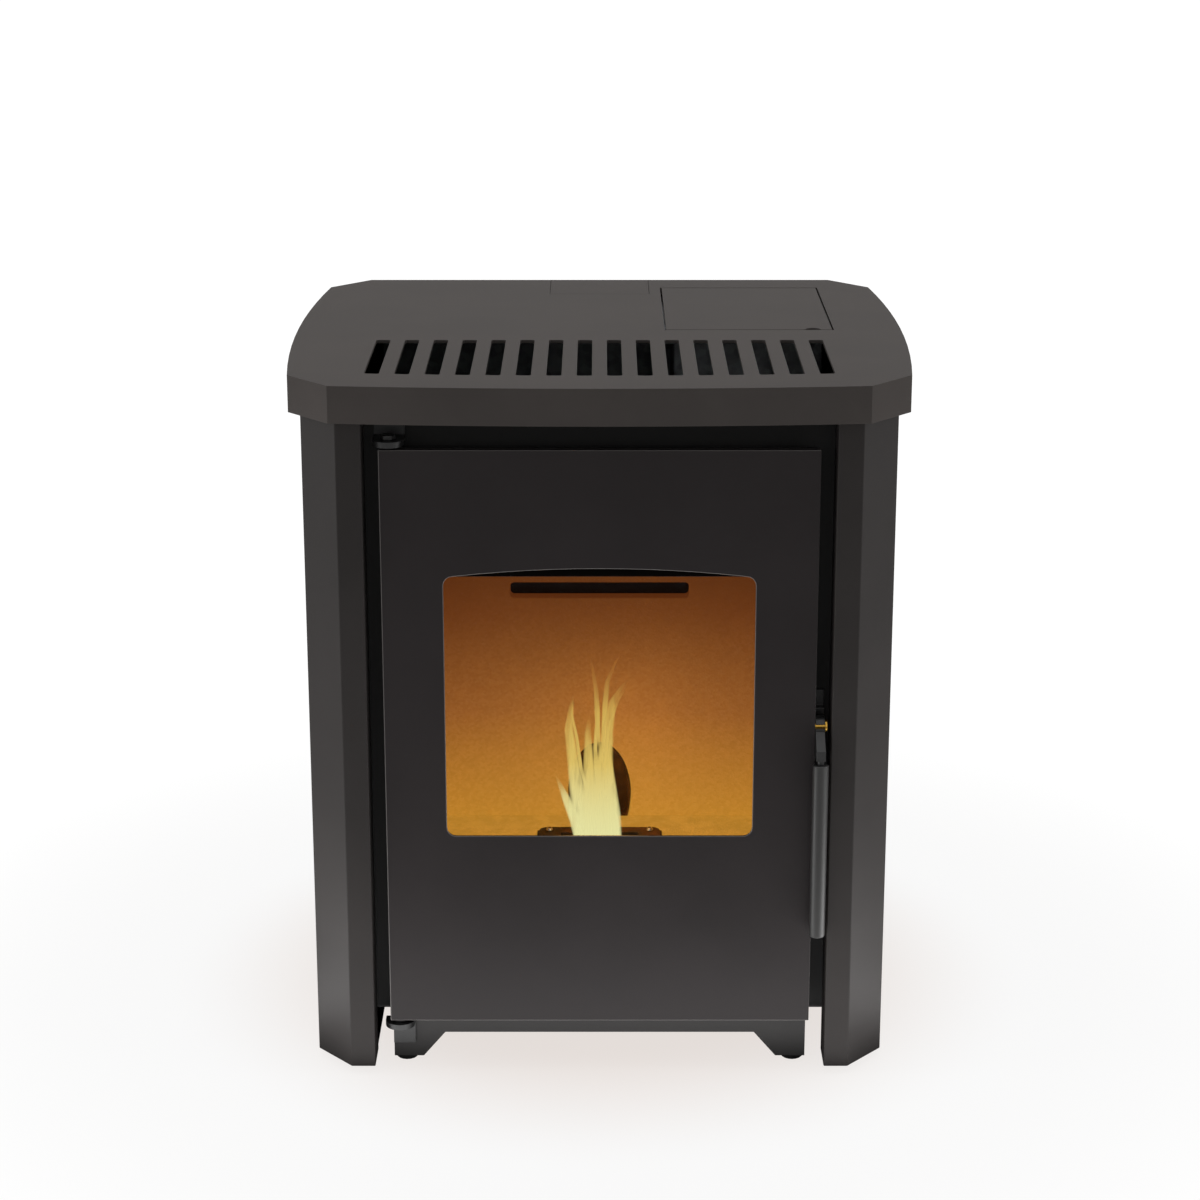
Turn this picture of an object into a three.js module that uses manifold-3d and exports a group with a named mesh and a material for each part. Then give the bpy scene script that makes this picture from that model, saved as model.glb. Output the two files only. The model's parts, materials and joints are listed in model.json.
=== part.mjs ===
// Compact pellet stove: sheet-steel casing with a bowed top plate, hinged hopper lid, glazed door with
// a gravity latch, lined firebox with a lift-out burn pot, inclined pellet auger, exhaust and room fans.
// Millimetres. Origin on the floor under the middle of the stove, +Y to the back, +Z up.
import * as THREE from 'three';
import { mergeVertices } from 'three/addons/utils/BufferGeometryUtils.js';
import { ConvexGeometry } from 'three/addons/geometries/ConvexGeometry.js';
import Module from 'manifold-3d';

// ---- driving dimensions ------------------------------------------------------------------------
const gap = 0.3; // standing clearance between pieces that seat on each other

// top plate, in plan and section
const width = 548; // over the widest point of the bowed sides
const depth = 506; // over the bowed front and the straight back
const height = 630;
const frontBow = 11; // how far the front edge bulges past its corners
const sideBow = 10.6;
const frontCornerWidth = 37.4; // chamfers of the plan
const frontCornerDepth = 43;
const rearCornerWidth = 36.4;
const rearCornerDepth = 40.5;
const rimHeight = 32;
const topSheet = 3;
const slotCount = 16;
const slotPitch = 25.7;
const slotWidth = 12.8;
const slotCorner = 1.6;
const slotRearY = -49.5;
const slotSetback = 52; // from the front edge to the near end of each slot

// casing
const rimOverhang = 10; // from the rim in to the side panels
const bodySideBow = 8.6;
const sideSheet = 2;
const pillarInnerX = 200; // inner edge of the front pillars
const floorClearance = 7.5;
const frontPlateSheet = 3;
const frontPlateTopDrop = 24; // from the top plate's top down to the front plate's top
const tabWidth = 32; // fixing tab inside the right pillar
const tabDepth = 30;

// back panel and its flue channel
const backSheet = 1.5;
const backInset = 32; // from the rear edge of the top to the back panel's inner face
const channelHalfWidth = 50;
const channelFaceY = 170;
const backPanelTopDrop = 10;
const louvreCount = 7;
const louvrePitch = 18;
const louvreWidth = 96;
const louvreHeight = 4;
const louvreX = 124;
const louvreBottom = 395;

// hopper lid and flue cover, flush in the top
const lidWidth = 150.7;
const lidDepth = 209.3;
const lidCentreX = 136;
const lidFrontY = -1.3;
const lidSlit = 1.6;
const notchRadius = 7.3;
const notchInset = 17.3; // from the lid's right edge to the notch's centre
const lidPivotInset = 10; // from the lid's rear edge forward to its pivot
const lidPivotDrop = 5; // from the top surface down to the pivot
const lidStubRadius = 1.5;
const lidEarWidth = 3;
const flueCoverWidth = 96;
const flueCoverFrontY = 176;
const coverLedge = 5;
const coverLedgeDrop = 4.7;

// base frame and feet
const plinthTop = 50;
const plinthHalfWidth = 184.5;
const plinthFrontY = -210;
const frameSheet = 2;
const floorSheet = 3;
const cutoutHalfWidthLow = 159;
const cutoutHalfWidthHigh = 138.5;
const cutoutTop = 30.6;
const footX = 174;
const footFrontY = -193;
const footRearY = 196;
const footPadRadius = 10;
const footPadHeight = 6;
const footStemRadius = 4;
const footFlangeZ = 14;
const footFlangeSheet = 3;

// door
const doorHalfWidth = 186;
const doorTopSlit = 26; // between the rim and the door
const doorSetback = 25; // door's front face behind the foremost point of the top
const doorSheet = 2.5;
const doorFold = 6.5;
const doorFrameSetback = 10.4; // from the door's front face to its inner frame
const doorFrameSheet = 4;
const doorDepth = 32; // from the door's front face to the front plate
const windowHalfWidth = 133;
const windowBottom = 226;
const windowTop = 461.5;
const windowArch = 7;
const windowCorner = 8;
const glassSheet = 4;
const glassLap = 17; // how far the glass reaches past the window
const glassGasketWidth = 11;
const doorGasketHalfWidth = 164;
const doorGasketWidth = 14;
const doorGasketBottom = 58;
const doorGasketTop = 489;
const gasketRib = 2;
const gasketRibDepth = 7.6;

// hinges
const hingeX = -178;
const hingeInset = 10; // hinge axis behind the door's front face
const hingePinRadius = 4;
const hingePinReach = 20; // into the door
const hingeHeadRadius = 7;
const hingeHeadHeight = 4;
const hingeLugRadius = 13;
const hingeLugSheet = 5;
const hingeLugSlit = 2; // between the top lug and the door
const hingeFlangeHeight = 20;
const hingeFlangeSheet = 3;

// latch: lever on a cross pin at the door's right edge, with the grip hanging from it
const latchZ = 325;
const latchInset = 9; // pin axis behind the door's front face
const latchPinRadius = 4;
const leverSheet = 8;
const leverHubRadius = 9;
const leverSplit = 4;
const gripRadius = 7;
const gripLength = 160;
const gripTop = 296;
const gripStandoff = 10; // grip axis in front of the door's front face
const gripX = 190.8;
const neckRadius = 3;
const neckReach = 24; // of the neck's stud into the grip
const noseReach = 19; // from the pin back to the tip of the latch nose
const keeperHeight = 6;

// firebox
const fireboxHalfWidth = 168;
const fireboxRearY = -2;
const fireboxTop = 505;
const fireboxSheet = 3;
const mouthHalfWidth = 146;
const mouthTop = 452.3;
const mouthBottom = 76;
const mouthBarBottom = 138;
const hearthTop = 165;
const hearthSheet = 4;
const liningThickness = 15;
const liningTop = 439;
const baffleFrontY = -150;
const baffleThickness = 10;
const smokeSlotHalfWidth = 83;
const smokeSlotBottom = 385;
const smokeSlotHeight = 11;

// burn pot, its seat and the ash pan
const potCentreY = -105;
const potFlangeWidth = 112;
const potFlangeDepth = 78;
const potFlangeSheet = 4;
const potFlangeCorner = 8;
const potWidth = 80;
const potLength = 58;
const potHeight = 50;
const potWall = 4;
const potHoleRadius = 2.5;
const potHolePitch = 13;
const seatWidth = 92;
const seatLength = 68;
const seatBottom = 110;
const seatSheet = 2.4;
const airDuctWidth = 74;
const airDuctBottom = 116;
const airDuctTop = 154;
const airPipeX = 95;
const airPipeZ = 135;
const airPipeRadius = 15;
const airPipeWall = 1.5;
const igniterX = -20;
const igniterRadius = 5;
const ashPanHalfWidth = 138;
const ashPanHeight = 32;
const ashPanSheet = 1.5;
const ashPanPullWidth = 70; // bent wire handle on the ash pan's front
const ashPanPullReach = 12;
const ashPanPullBar = 3;

// heat exchanger tubes over the firebox
const airTubeRadius = 17;
const airTubeWall = 1.5;
const airTubePitch = 78;
const airTubeFrontY = -172;
const airTubeRearY = -24;

// hopper, auger and chute
const hopperSheet = 1.5;
const hopperMargin = 8; // hopper wall inside the lid's edge
const hopperFrontY = 15;
const hopperRearY = 179;
const hopperFunnelTop = 440;
const hopperFunnelBottom = 314;
const throatLeftX = 98;
const throatLength = 50;
const throatWidth = 46;
const hopperFlangeDrop = 11.3; // from the top surface down to the hopper's flange
const flangeMargin = 5;
const lidGasketWidth = 9;
const guardBar = 3;
const guardWeld = 0.6; // how deep crossing bars sink into each other
const guardOverhang = 4; // bar ends past the outermost crossing bar
const guardBarsAcross = 5;
const guardBarsDeep = 4;
const augerY = 90;
const augerTopZ = 415;
const augerTilt = 30; // degrees from upright
const augerTubeRadius = 30;
const augerTubeWall = 2;
const augerHead = 34; // tube above the chute's axis
const augerReach = 304; // tube below the chute's axis
const augerScrewRadius = 25.5;
const augerShaftRadius = 7;
const augerPitch = 46;
const augerFlight = 3;
const gearboxLength = 34;
const gearboxSize = 56;
const augerMotorRadius = 21;
const augerMotorLength = 42;
const chuteRadius = 29.4;
const chuteWall = 2.4;
const chuteMouthZ = 290; // height of the chute's axis at the face of the back lining
const chuteMouthReach = 6;

// exhaust side
const smokeDuctLeftX = -150;
const smokeDuctRightX = -60;
const smokeDuctDepth = 25;
const smokeDuctSheet = 2;
const smokeBoxRearY = 135;
const smokeBoxTop = 160;
const smokeBoxBottom = 60;
const exhaustHalfWidth = 32.7;
const exhaustY = 85;
const exhaustZ = 118;
const scrollStart = 52;
const scrollEnd = 72;
const scrollWall = 2.5;
const exhaustInletRadius = 34;
const exhaustOutletY = 150;
const impellerRadius = 44;
const impellerBlades = 10;
const exhaustShaftRadius = 4;
const exhaustMotorRadius = 33;
const exhaustMotorLength = 40;
const flueRadius = 40;
const flueWall = 2;
const flueZ = 150;
const flueEndY = 235;

// room fan
const roomFanY = 50;
const roomFanZ = 527;
const roomFanLeftX = -206;
const roomFanRightX = 44;
const rotorRadius = 27;
const rotorBlades = 16;
const roomFanBore = 31;
const roomFanWall = 2;
const roomFanShaftRadius = 3;
const roomFanMotorRadius = 24;
const roomFanMotorLength = 30;
const roomFanDuctHeight = 38;

// electrics on the back panel
const inletX = -150;
const inletZ = 110;
const inletFlangeWidth = 50;
const inletFlangeHeight = 64;
const inletFlangeSheet = 2.5;
const inletBodyDepth = 24;
const socketWidth = 25;
const socketHeight = 17;
const socketDepth = 16;
const rockerWidth = 20;
const rockerHeight = 13;
const rockerTilt = 7; // degrees
const thermostatZ = 190;
const thermostatRadius = 11;
const buttonRadius = 3.5;
const buttonReach = 4;
const boardWidth = 110;
const boardHeight = 130;
const boardCentreX = -132;
const boardBottom = 250;
const boardStandoff = 10;

// ---- finishes ----------------------------------------------------------------------------------
function finish(color, roughness, metalness) {
  return new THREE.MeshStandardMaterial({ color, roughness, metalness });
}
const anthracite = finish(0x454240, 0.5, 0.25);
const doorPaint = finish(0x302d2c, 0.42, 0.25);
const innerPaint = finish(0x1c1b1b, 0.6, 0.3);
const blackSteel = finish(0x141414, 0.5, 0.4);
const vermiculite = finish(0x9c7440, 0.95, 0);
const castIron = finish(0x3a332e, 0.75, 0.6);
const galvanised = finish(0x9a9ea0, 0.4, 0.9);
const stainless = finish(0xb4b4b0, 0.3, 0.95);
const zincYellow = finish(0xb98a2e, 0.3, 0.9);
const ropeSeal = finish(0x4b4a47, 0.95, 0);
const rubber = finish(0x121212, 0.85, 0);
const blackPlastic = finish(0x191919, 0.45, 0);
const redPlastic = finish(0x8c1f18, 0.4, 0);
const boardGreen = finish(0x1f4a30, 0.5, 0.1);
const ceramicGlass = new THREE.MeshStandardMaterial({
  color: 0x2a2420,
  roughness: 0.05,
  metalness: 0,
  transparent: true,
  opacity: 0.3,
});

// ---- solid geometry ----------------------------------------------------------------------------
const wasm = await Module();
wasm.setup();

// A closed three.js geometry as a solid that can be joined and cut.
function solid(geometry) {
  const bare = geometry.index ? geometry.toNonIndexed() : geometry;
  for (const name of Object.keys(bare.attributes)) {
    if (name !== 'position') {
      bare.deleteAttribute(name);
    }
  }
  const merged = mergeVertices(bare, 1e-4);
  return new wasm.Manifold(new wasm.Mesh({
    numProp: 3,
    vertProperties: new Float32Array(merged.attributes.position.array),
    triVerts: new Uint32Array(merged.index.array),
  }));
}

function join(...solids) {
  return solids.reduce((whole, next) => whole.add(next));
}

function cut(body, ...tools) {
  return tools.reduce((rest, tool) => rest.subtract(tool), body);
}

function block([x0, x1], [y0, y1], [z0, z1]) {
  const geometry = new THREE.BoxGeometry(x1 - x0, y1 - y0, z1 - z0);
  geometry.translate((x0 + x1) / 2, (y0 + y1) / 2, (z0 + z1) / 2);
  return solid(geometry);
}

const toAxis = {
  // extrusion direction along the axis, profile in the other two row axes
  x: new THREE.Matrix4().makeBasis(
    new THREE.Vector3(0, 1, 0), new THREE.Vector3(0, 0, 1), new THREE.Vector3(1, 0, 0)),
  y: new THREE.Matrix4().makeBasis(
    new THREE.Vector3(1, 0, 0), new THREE.Vector3(0, 0, 1), new THREE.Vector3(0, -1, 0)),
  z: new THREE.Matrix4(),
};

// A profile, as [a, b] points with optional holes, extruded from one place on an axis to another.
// Along x the profile is (y, z), along y it is (x, z), along z it is (x, y).
function prism(axis, points, [from, to], holes = []) {
  const shape = new THREE.Shape(points.map(([a, b]) => new THREE.Vector2(a, b)));
  for (const hole of holes) {
    shape.holes.push(new THREE.Path(hole.map(([a, b]) => new THREE.Vector2(a, b))));
  }
  const geometry = new THREE.ExtrudeGeometry(shape, { depth: to - from, bevelEnabled: false });
  geometry.applyMatrix4(toAxis[axis]);
  const start = { x: [from, 0, 0], y: [0, to, 0], z: [0, 0, from] }[axis];
  geometry.translate(...start);
  return solid(geometry);
}

function rectangle([a0, a1], [b0, b1]) {
  return [[a0, b0], [a1, b0], [a1, b1], [a0, b1]];
}

function roundedRectangle([a0, a1], [b0, b1], radius, steps = 3) {
  const corners = [[a1 - radius, b0 + radius, -90], [a1 - radius, b1 - radius, 0],
    [a0 + radius, b1 - radius, 90], [a0 + radius, b0 + radius, 180]];
  return corners.flatMap(([a, b, start]) => circle(a, b, radius, steps * 4, start, 90));
}

// Points on a circle, or on a stretch of one, counter-clockwise from a start angle in degrees.
function circle(a, b, radius, sides = 24, start = 0, sweep = 360) {
  const steps = Math.round(sides * sweep / 360);
  const count = sweep === 360 ? steps : steps + 1;
  return Array.from({ length: count }, (_, i) => {
    const angle = THREE.MathUtils.degToRad(start + sweep * i / steps);
    return [a + radius * Math.cos(angle), b + radius * Math.sin(angle)];
  });
}

function cylinder(axis, radius, span, [a, b], sides = 20) {
  return prism(axis, circle(a, b, radius, sides), span);
}

function tube(axis, outer, inner, span, [a, b], sides = 20) {
  return prism(axis, circle(a, b, outer, sides), span, [circle(a, b, inner, sides)]);
}

// The solid between two rectangles at different heights: [x range, y range, z].
function loft([lowX, lowY, lowZ], [highX, highY, highZ]) {
  const points = [];
  for (const [xs, ys, z] of [[lowX, lowY, lowZ], [highX, highY, highZ]]) {
    for (const [x, y] of rectangle(xs, ys)) {
      points.push(new THREE.Vector3(x, y, z));
    }
  }
  return solid(new ConvexGeometry(points));
}

// An arc from one point to another that bulges to the right of its direction.
function arc([x0, y0], [x1, y1], bulge, steps) {
  const chord = Math.hypot(x1 - x0, y1 - y0);
  const [dx, dy] = [(x1 - x0) / chord, (y1 - y0) / chord];
  if (bulge === 0) {
    return [[x0, y0], [x1, y1]];
  }
  const radius = (chord * chord / 4 + bulge * bulge) / (2 * bulge);
  const half = Math.asin(chord / 2 / radius);
  return Array.from({ length: steps + 1 }, (_, i) => {
    const angle = half * (2 * i / steps - 1);
    const along = radius * Math.sin(angle);
    const out = radius * Math.cos(angle) - radius + bulge;
    return [(x0 + x1) / 2 + dx * along + dy * out, (y0 + y1) / 2 + dy * along - dx * out];
  });
}

// A path moved to its left by a distance, with mitred corners; closed loops join at their ends.
function offset(points, distance, closed) {
  const count = points.length;
  const normals = points.map(([x, y], i) => {
    const [nx, ny] = points[(i + 1) % count];
    const length = Math.hypot(nx - x, ny - y);
    return [-(ny - y) / length, (nx - x) / length];
  });
  return points.map(([x, y], i) => {
    const before = closed || i > 0 ? normals[(i + count - 1) % count] : normals[0];
    const after = closed || i < count - 1 ? normals[i] : normals[count - 2];
    const share = distance / (1 + before[0] * after[0] + before[1] * after[1]);
    return [x + (before[0] + after[0]) * share, y + (before[1] + after[1]) * share];
  });
}

// The closed outline of a folded sheet whose outer face follows an open path.
function sheet(path, thickness) {
  return [...path, ...offset(path, thickness, false).reverse()];
}

// Spans: one narrowed or widened at both ends, one of a size about zero or about a centre.
const inside = ([low, high], wall) => [low + wall, high - wall];
const grown = ([low, high], by) => [low - by, high + by];
const half = (size) => [-size / 2, size / 2];
const around = (centre, size) => half(size).map((value) => value + centre);

const stove = new THREE.Group();

function assembly(parent = stove, position = [0, 0, 0]) {
  const group = new THREE.Group();
  group.position.set(...position);
  parent.add(group);
  return group;
}

function piece(parent, name, body, material, position = [0, 0, 0]) {
  const { vertProperties, triVerts } = body.getMesh();
  const geometry = new THREE.BufferGeometry();
  geometry.setAttribute('position', new THREE.BufferAttribute(vertProperties, 3));
  geometry.setIndex(new THREE.BufferAttribute(triVerts, 1));
  geometry.computeVertexNormals();
  const mesh = new THREE.Mesh(geometry, material);
  mesh.name = name;
  mesh.position.set(...position);
  parent.add(mesh);
  return mesh;
}

// ---- lines that several pieces share -----------------------------------------------------------
const topUnderside = height - topSheet;
const rimBottom = height - rimHeight;
const sideX = width / 2 - sideBow; // the plan's side corners
const frontY = -depth / 2 + frontBow; // the plan's front corners
const frontX = sideX - frontCornerWidth;
const rearY = depth / 2;
const rearX = sideX - rearCornerWidth;
const frontSteps = 14;
const sideSteps = 10;

// The plan, counter-clockwise from the left end of the front edge.
function planLoop(frontBulge, sideBulge) {
  return [
    ...arc([-frontX, frontY], [frontX, frontY], frontBulge, frontSteps),
    ...arc([sideX, frontY + frontCornerDepth], [sideX, rearY - rearCornerDepth], sideBulge, sideSteps),
    [rearX, rearY],
    [-rearX, rearY],
    ...arc([-sideX, rearY - rearCornerDepth], [-sideX, frontY + frontCornerDepth], sideBulge, sideSteps),
  ];
}
const topLoop = planLoop(frontBow, sideBow);
const bodyLoop = offset(planLoop(0, bodySideBow), rimOverhang, true);
const bodyFrontY = frontY + rimOverhang;
const bodyRearY = rearY - rimOverhang;

// The front edge's place at a distance from the middle.
const bowRadius = (frontX * frontX + frontBow * frontBow) / (2 * frontBow);
function frontEdgeY(x) {
  return -depth / 2 + bowRadius - Math.sqrt(bowRadius * bowRadius - x * x);
}

const doorFrontY = -depth / 2 + doorSetback;
const doorBottom = plinthTop + gap;
const doorTop = rimBottom - doorTopSlit;
const frontPlateY = doorFrontY + doorDepth; // its front face
const frontPlateRearY = frontPlateY + frontPlateSheet;
const frontPlateTop = height - frontPlateTopDrop;
const frontPlateHalfWidth = pillarInnerX + 14;
const backPanelY = rearY - backInset; // its inner face
const backPanelRearY = backPanelY + backSheet;

const lidLeftX = lidCentreX - lidWidth / 2;
const lidRightX = lidCentreX + lidWidth / 2;
const lidRearY = lidFrontY + lidDepth;
const lidPivotY = lidRearY - lidPivotInset;
const lidPivotZ = height - lidPivotDrop;
const flangeTop = height - hopperFlangeDrop;
const lugSheet = 4;

// ---- top plate ---------------------------------------------------------------------------------
const casing = assembly();

// One vent slot; its near end follows the bowed front edge, its corners are eased.
function slotOutline(index) {
  const x = (index - (slotCount - 1) / 2) * slotPitch;
  const [left, right] = [x - slotWidth / 2, x + slotWidth / 2];
  const nearLeft = frontEdgeY(left) + slotSetback;
  const nearRight = frontEdgeY(right) + slotSetback;
  const c = slotCorner;
  return [
    [left + c, nearLeft], [right - c, nearRight], [right, nearRight + c], [right, slotRearY - c],
    [right - c, slotRearY], [left + c, slotRearY], [left, slotRearY - c], [left, nearLeft + c],
  ];
}

const lidOpening = rectangle([lidLeftX - lidSlit, lidRightX + lidSlit], [lidFrontY - lidSlit, lidRearY + lidSlit]);
const coverHalf = flueCoverWidth / 2;
const coverRearY = rearY - topSheet - gap;
const coverOpening = rectangle([-coverHalf - gap, coverHalf + gap], [flueCoverFrontY - gap, rearY - topSheet]);
const slots = Array.from({ length: slotCount }, (_, i) => slotOutline(i));

const topCap = cut(
  prism('z', topLoop, [rimBottom, height]),
  prism('z', offset(topLoop, topSheet, true), [rimBottom - 1, topUnderside]),
);
const topCuts = [...slots, lidOpening, coverOpening].map(
  (outline) => prism('z', outline, [topUnderside - 1, height + 1]));

// ledges that carry the flue cover, and lugs that hold the lid's pivot stubs
const coverLedges = [-1, 1].map((side) => {
  const xs = [side * (coverHalf - coverLedge / 2), side * (coverHalf + coverLedge)].sort((a, b) => a - b);
  return cut(
    block(xs, [flueCoverFrontY - gap, rearY - topSheet], [topUnderside - coverLedgeDrop, topUnderside + 1]),
    prism('z', coverOpening, [topUnderside - gap, height]),
  );
});
const lugGap = 1; // between a lug and the edge of the lid opening
const leftLug = [lidLeftX - lidSlit - lugGap - lugSheet, lidLeftX - lidSlit - lugGap];
const rightLug = [lidRightX + lidSlit + lugGap, lidRightX + lidSlit + lugGap + lugSheet];
const lugReach = 4.5; // round the pivot
const lidLugs = [leftLug, rightLug].map((xs) => cut(
  block(xs, [lidPivotY - lugReach, lidPivotY + lugReach], [lidPivotZ - lugReach, topUnderside + 1]),
  cylinder('x', lidStubRadius + gap, [xs[0] - 1, xs[1] + 1], [lidPivotY, lidPivotZ], 12),
));
piece(casing, 'top_plate', join(cut(topCap, ...topCuts), ...coverLedges, ...lidLugs), anthracite);

piece(casing, 'flue_cover',
  block([-coverHalf, coverHalf], [flueCoverFrontY, coverRearY], [topUnderside, height]), anthracite);

// ---- hopper lid --------------------------------------------------------------------------------
const lid = assembly();
const notchX = lidRightX - notchInset;
const lidSheet = cut(
  prism('z', rectangle([lidLeftX, lidRightX], [lidFrontY, lidRearY]), [topUnderside, height]),
  cylinder('z', notchRadius, [topUnderside - 1, height + 1], [notchX, lidFrontY], 24),
);
const earReach = 3.5;
const earInset = 0.8; // ear inside the lid's edge
const lidEars = [[lidLeftX + earInset, leftLug[0] + 1], [lidRightX - earInset, rightLug[1] - 1]].map(
  ([edge, stubEnd]) => {
    const inward = Math.sign(edge - stubEnd);
    const xs = [edge, edge + inward * lidEarWidth].sort((a, b) => a - b);
    const stub = [stubEnd, edge + inward].sort((a, b) => a - b);
    return join(
      block(xs, [lidPivotY - earReach, lidPivotY + earReach], [lidPivotZ - earReach, topUnderside + 1]),
      cylinder('x', lidStubRadius, stub, [lidPivotY, lidPivotZ], 12),
    );
  });
piece(lid, 'hopper_lid', join(lidSheet, ...lidEars), anthracite);

const sealOutside = [[lidLeftX + 1, lidRightX - 1], [hopperFrontY - lidGasketWidth + 2, lidPivotY - 12]];
const sealInside = sealOutside.map(([low, high]) => [low + lidGasketWidth, high - lidGasketWidth]);
piece(lid, 'lid_gasket',
  prism('z', rectangle(...sealOutside), [flangeTop + gap, topUnderside - gap], [rectangle(...sealInside)]),
  rubber);

// ---- side panels: one folded sheet each, from the recess beside the door round to the back ------
function sidePanel(side) {
  const path = [
    [pillarInnerX, frontPlateY - gap],
    [pillarInnerX, bodyFrontY],
    ...bodyLoop.slice(1, sideSteps + 4),
    [pillarInnerX, bodyRearY],
    [pillarInnerX, backPanelRearY + gap],
  ].map(([x, y]) => [side * x, y]);
  return prism('z', sheet(path, side * sideSheet), [floorClearance, topUnderside - gap]);
}
piece(casing, 'left_side_panel', sidePanel(-1), anthracite);

// the right panel has a fixing tab welded inside its pillar, which shows through the end slots
const tabFrontY = bodyFrontY + sideSheet + 24;
const tabTop = topUnderside - 10;
const tab = join(
  block([pillarInnerX - tabWidth, pillarInnerX + sideSheet / 2], [tabFrontY, tabFrontY + tabDepth],
    [tabTop - sideSheet, tabTop]),
  block([pillarInnerX, pillarInnerX + sideSheet], [bodyFrontY + sideSheet, tabFrontY + tabDepth],
    [frontPlateTop + gap, tabTop]),
);
piece(casing, 'right_side_panel', join(sidePanel(1), tab), anthracite);

// ---- front plate: the door closes on it and the firebox hangs behind it; its top edge is folded ----
// ---- forward to the rim, so that the warm air leaves through the slots ---------------------------
const frontFlangeSteps = 8;
const mouth = rectangle([-mouthHalfWidth, mouthHalfWidth], [hearthTop + gap, mouthTop]);
const ashMouth = rectangle([-mouthHalfWidth, mouthHalfWidth], [mouthBottom, mouthBarBottom]);
const flangeEndX = pillarInnerX - gap;
const rimInnerY = (x) => frontEdgeY(x) + topSheet + gap;
const topFlange = prism('z', [
  ...arc([-flangeEndX, rimInnerY(flangeEndX)], [flangeEndX, rimInnerY(flangeEndX)],
    rimInnerY(flangeEndX) - rimInnerY(0), frontFlangeSteps),
  [flangeEndX, frontPlateRearY],
  [-flangeEndX, frontPlateRearY],
], [frontPlateTop - frontPlateSheet, frontPlateTop]);
piece(casing, 'front_plate', join(
  prism('y', rectangle([-frontPlateHalfWidth, frontPlateHalfWidth], [doorBottom, frontPlateTop]),
    [frontPlateY, frontPlateRearY], [mouth, ashMouth]),
  topFlange,
), innerPaint);

// ---- back panel: a folded sheet with the flue channel, louvres and the holes for what it carries --
const backPath = [
  [-frontPlateHalfWidth, backPanelY], [-channelHalfWidth, backPanelY], [-channelHalfWidth, channelFaceY],
  [channelHalfWidth, channelFaceY], [channelHalfWidth, backPanelY], [frontPlateHalfWidth, backPanelY],
];
const louvres = [-1, 1].flatMap((side) => Array.from({ length: louvreCount }, (_, i) => {
  const z = louvreBottom + i * louvrePitch;
  const x = side * louvreX;
  const across = [x - louvreWidth / 2, x + louvreWidth / 2];
  return block(across, [backPanelY - 1, backPanelRearY + 1], [z, z + louvreHeight]);
}));
const backSpan = [channelFaceY - 2, backPanelRearY + 1];
piece(casing, 'back_panel', cut(
  prism('z', sheet(backPath, backSheet), [plinthTop + gap, height - backPanelTopDrop]),
  ...louvres,
  cylinder('y', flueRadius + gap, backSpan, [0, flueZ], 32),
  cylinder('y', airPipeRadius + gap, backSpan, [airPipeX, airPipeZ], 20),
  block([inletX - inletFlangeWidth / 2 + 5, inletX + inletFlangeWidth / 2 - 5], backSpan,
    [inletZ - inletFlangeHeight / 2 + 5, inletZ + inletFlangeHeight / 2 - 5]),
  cylinder('y', buttonRadius + 2.5 + gap, backSpan, [inletX, thermostatZ], 16),
), galvanised);

// ---- base frame: floor plate on folded aprons, with a foot flange in each corner ----------------
const floorBottom = plinthTop - floorSheet;
const floorSideX = sideX - rimOverhang - sideSheet - gap;
const floorRearY = rearY - rearCornerDepth - rimOverhang;
const floorFrontY = frontPlateRearY + gap;
const apronRearY = backPanelY - 6;
const floorOutline = [
  [-plinthHalfWidth, plinthFrontY], [plinthHalfWidth, plinthFrontY], [plinthHalfWidth, floorFrontY],
  [floorSideX, floorFrontY], [floorSideX, floorRearY], [frontPlateHalfWidth, floorRearY],
  [frontPlateHalfWidth, backPanelRearY], [-frontPlateHalfWidth, backPanelRearY],
  [-frontPlateHalfWidth, floorRearY], [-floorSideX, floorRearY], [-floorSideX, floorFrontY],
  [-plinthHalfWidth, floorFrontY],
];
const cutout = [
  [-cutoutHalfWidthLow, floorClearance - 1], [cutoutHalfWidthLow, floorClearance - 1],
  [cutoutHalfWidthHigh, cutoutTop], [-cutoutHalfWidthHigh, cutoutTop],
];
const flangeSize = footPadRadius * 2 + 6;
const footPlaces = [
  [-footX, footFrontY], [footX, footFrontY], [-footX, footRearY], [footX, footRearY],
];
const flangeZs = [footFlangeZ, footFlangeZ + footFlangeSheet];
const footFlanges = footPlaces.map(([x, y]) => {
  const outerX = Math.sign(x) * (plinthHalfWidth - 1);
  const xs = [outerX, outerX - Math.sign(x) * (flangeSize + 2)].sort((a, b) => a - b);
  const ys = y < 0 ? [plinthFrontY + 1, y + flangeSize / 2] : [y - flangeSize / 2, apronRearY - 1];
  return block(xs, ys, flangeZs);
});
const sideAprons = [-1, 1].map((side) => {
  const xs = [side * plinthHalfWidth, side * (plinthHalfWidth - frameSheet)].sort((a, b) => a - b);
  return block(xs, [plinthFrontY, apronRearY], [footFlangeZ, plinthTop - 1]);
});
const baseFrame = join(
  prism('z', floorOutline, [floorBottom, plinthTop]),
  cut(
    block([-plinthHalfWidth, plinthHalfWidth], [plinthFrontY, plinthFrontY + frameSheet],
      [floorClearance, plinthTop]),
    prism('y', cutout, [plinthFrontY - 1, plinthFrontY + frameSheet + 1]),
  ),
  block([-plinthHalfWidth, plinthHalfWidth], [apronRearY - frameSheet, apronRearY], [footFlangeZ, plinthTop - 1]),
  ...sideAprons,
  ...footFlanges,
);
const footHoles = footPlaces.map(([x, y]) => cylinder('z', footStemRadius + gap,
  [footFlangeZ - 1, footFlangeZ + footFlangeSheet + 1], [x, y], 16));
piece(casing, 'base_frame', cut(baseFrame, ...footHoles), innerPaint);

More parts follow.
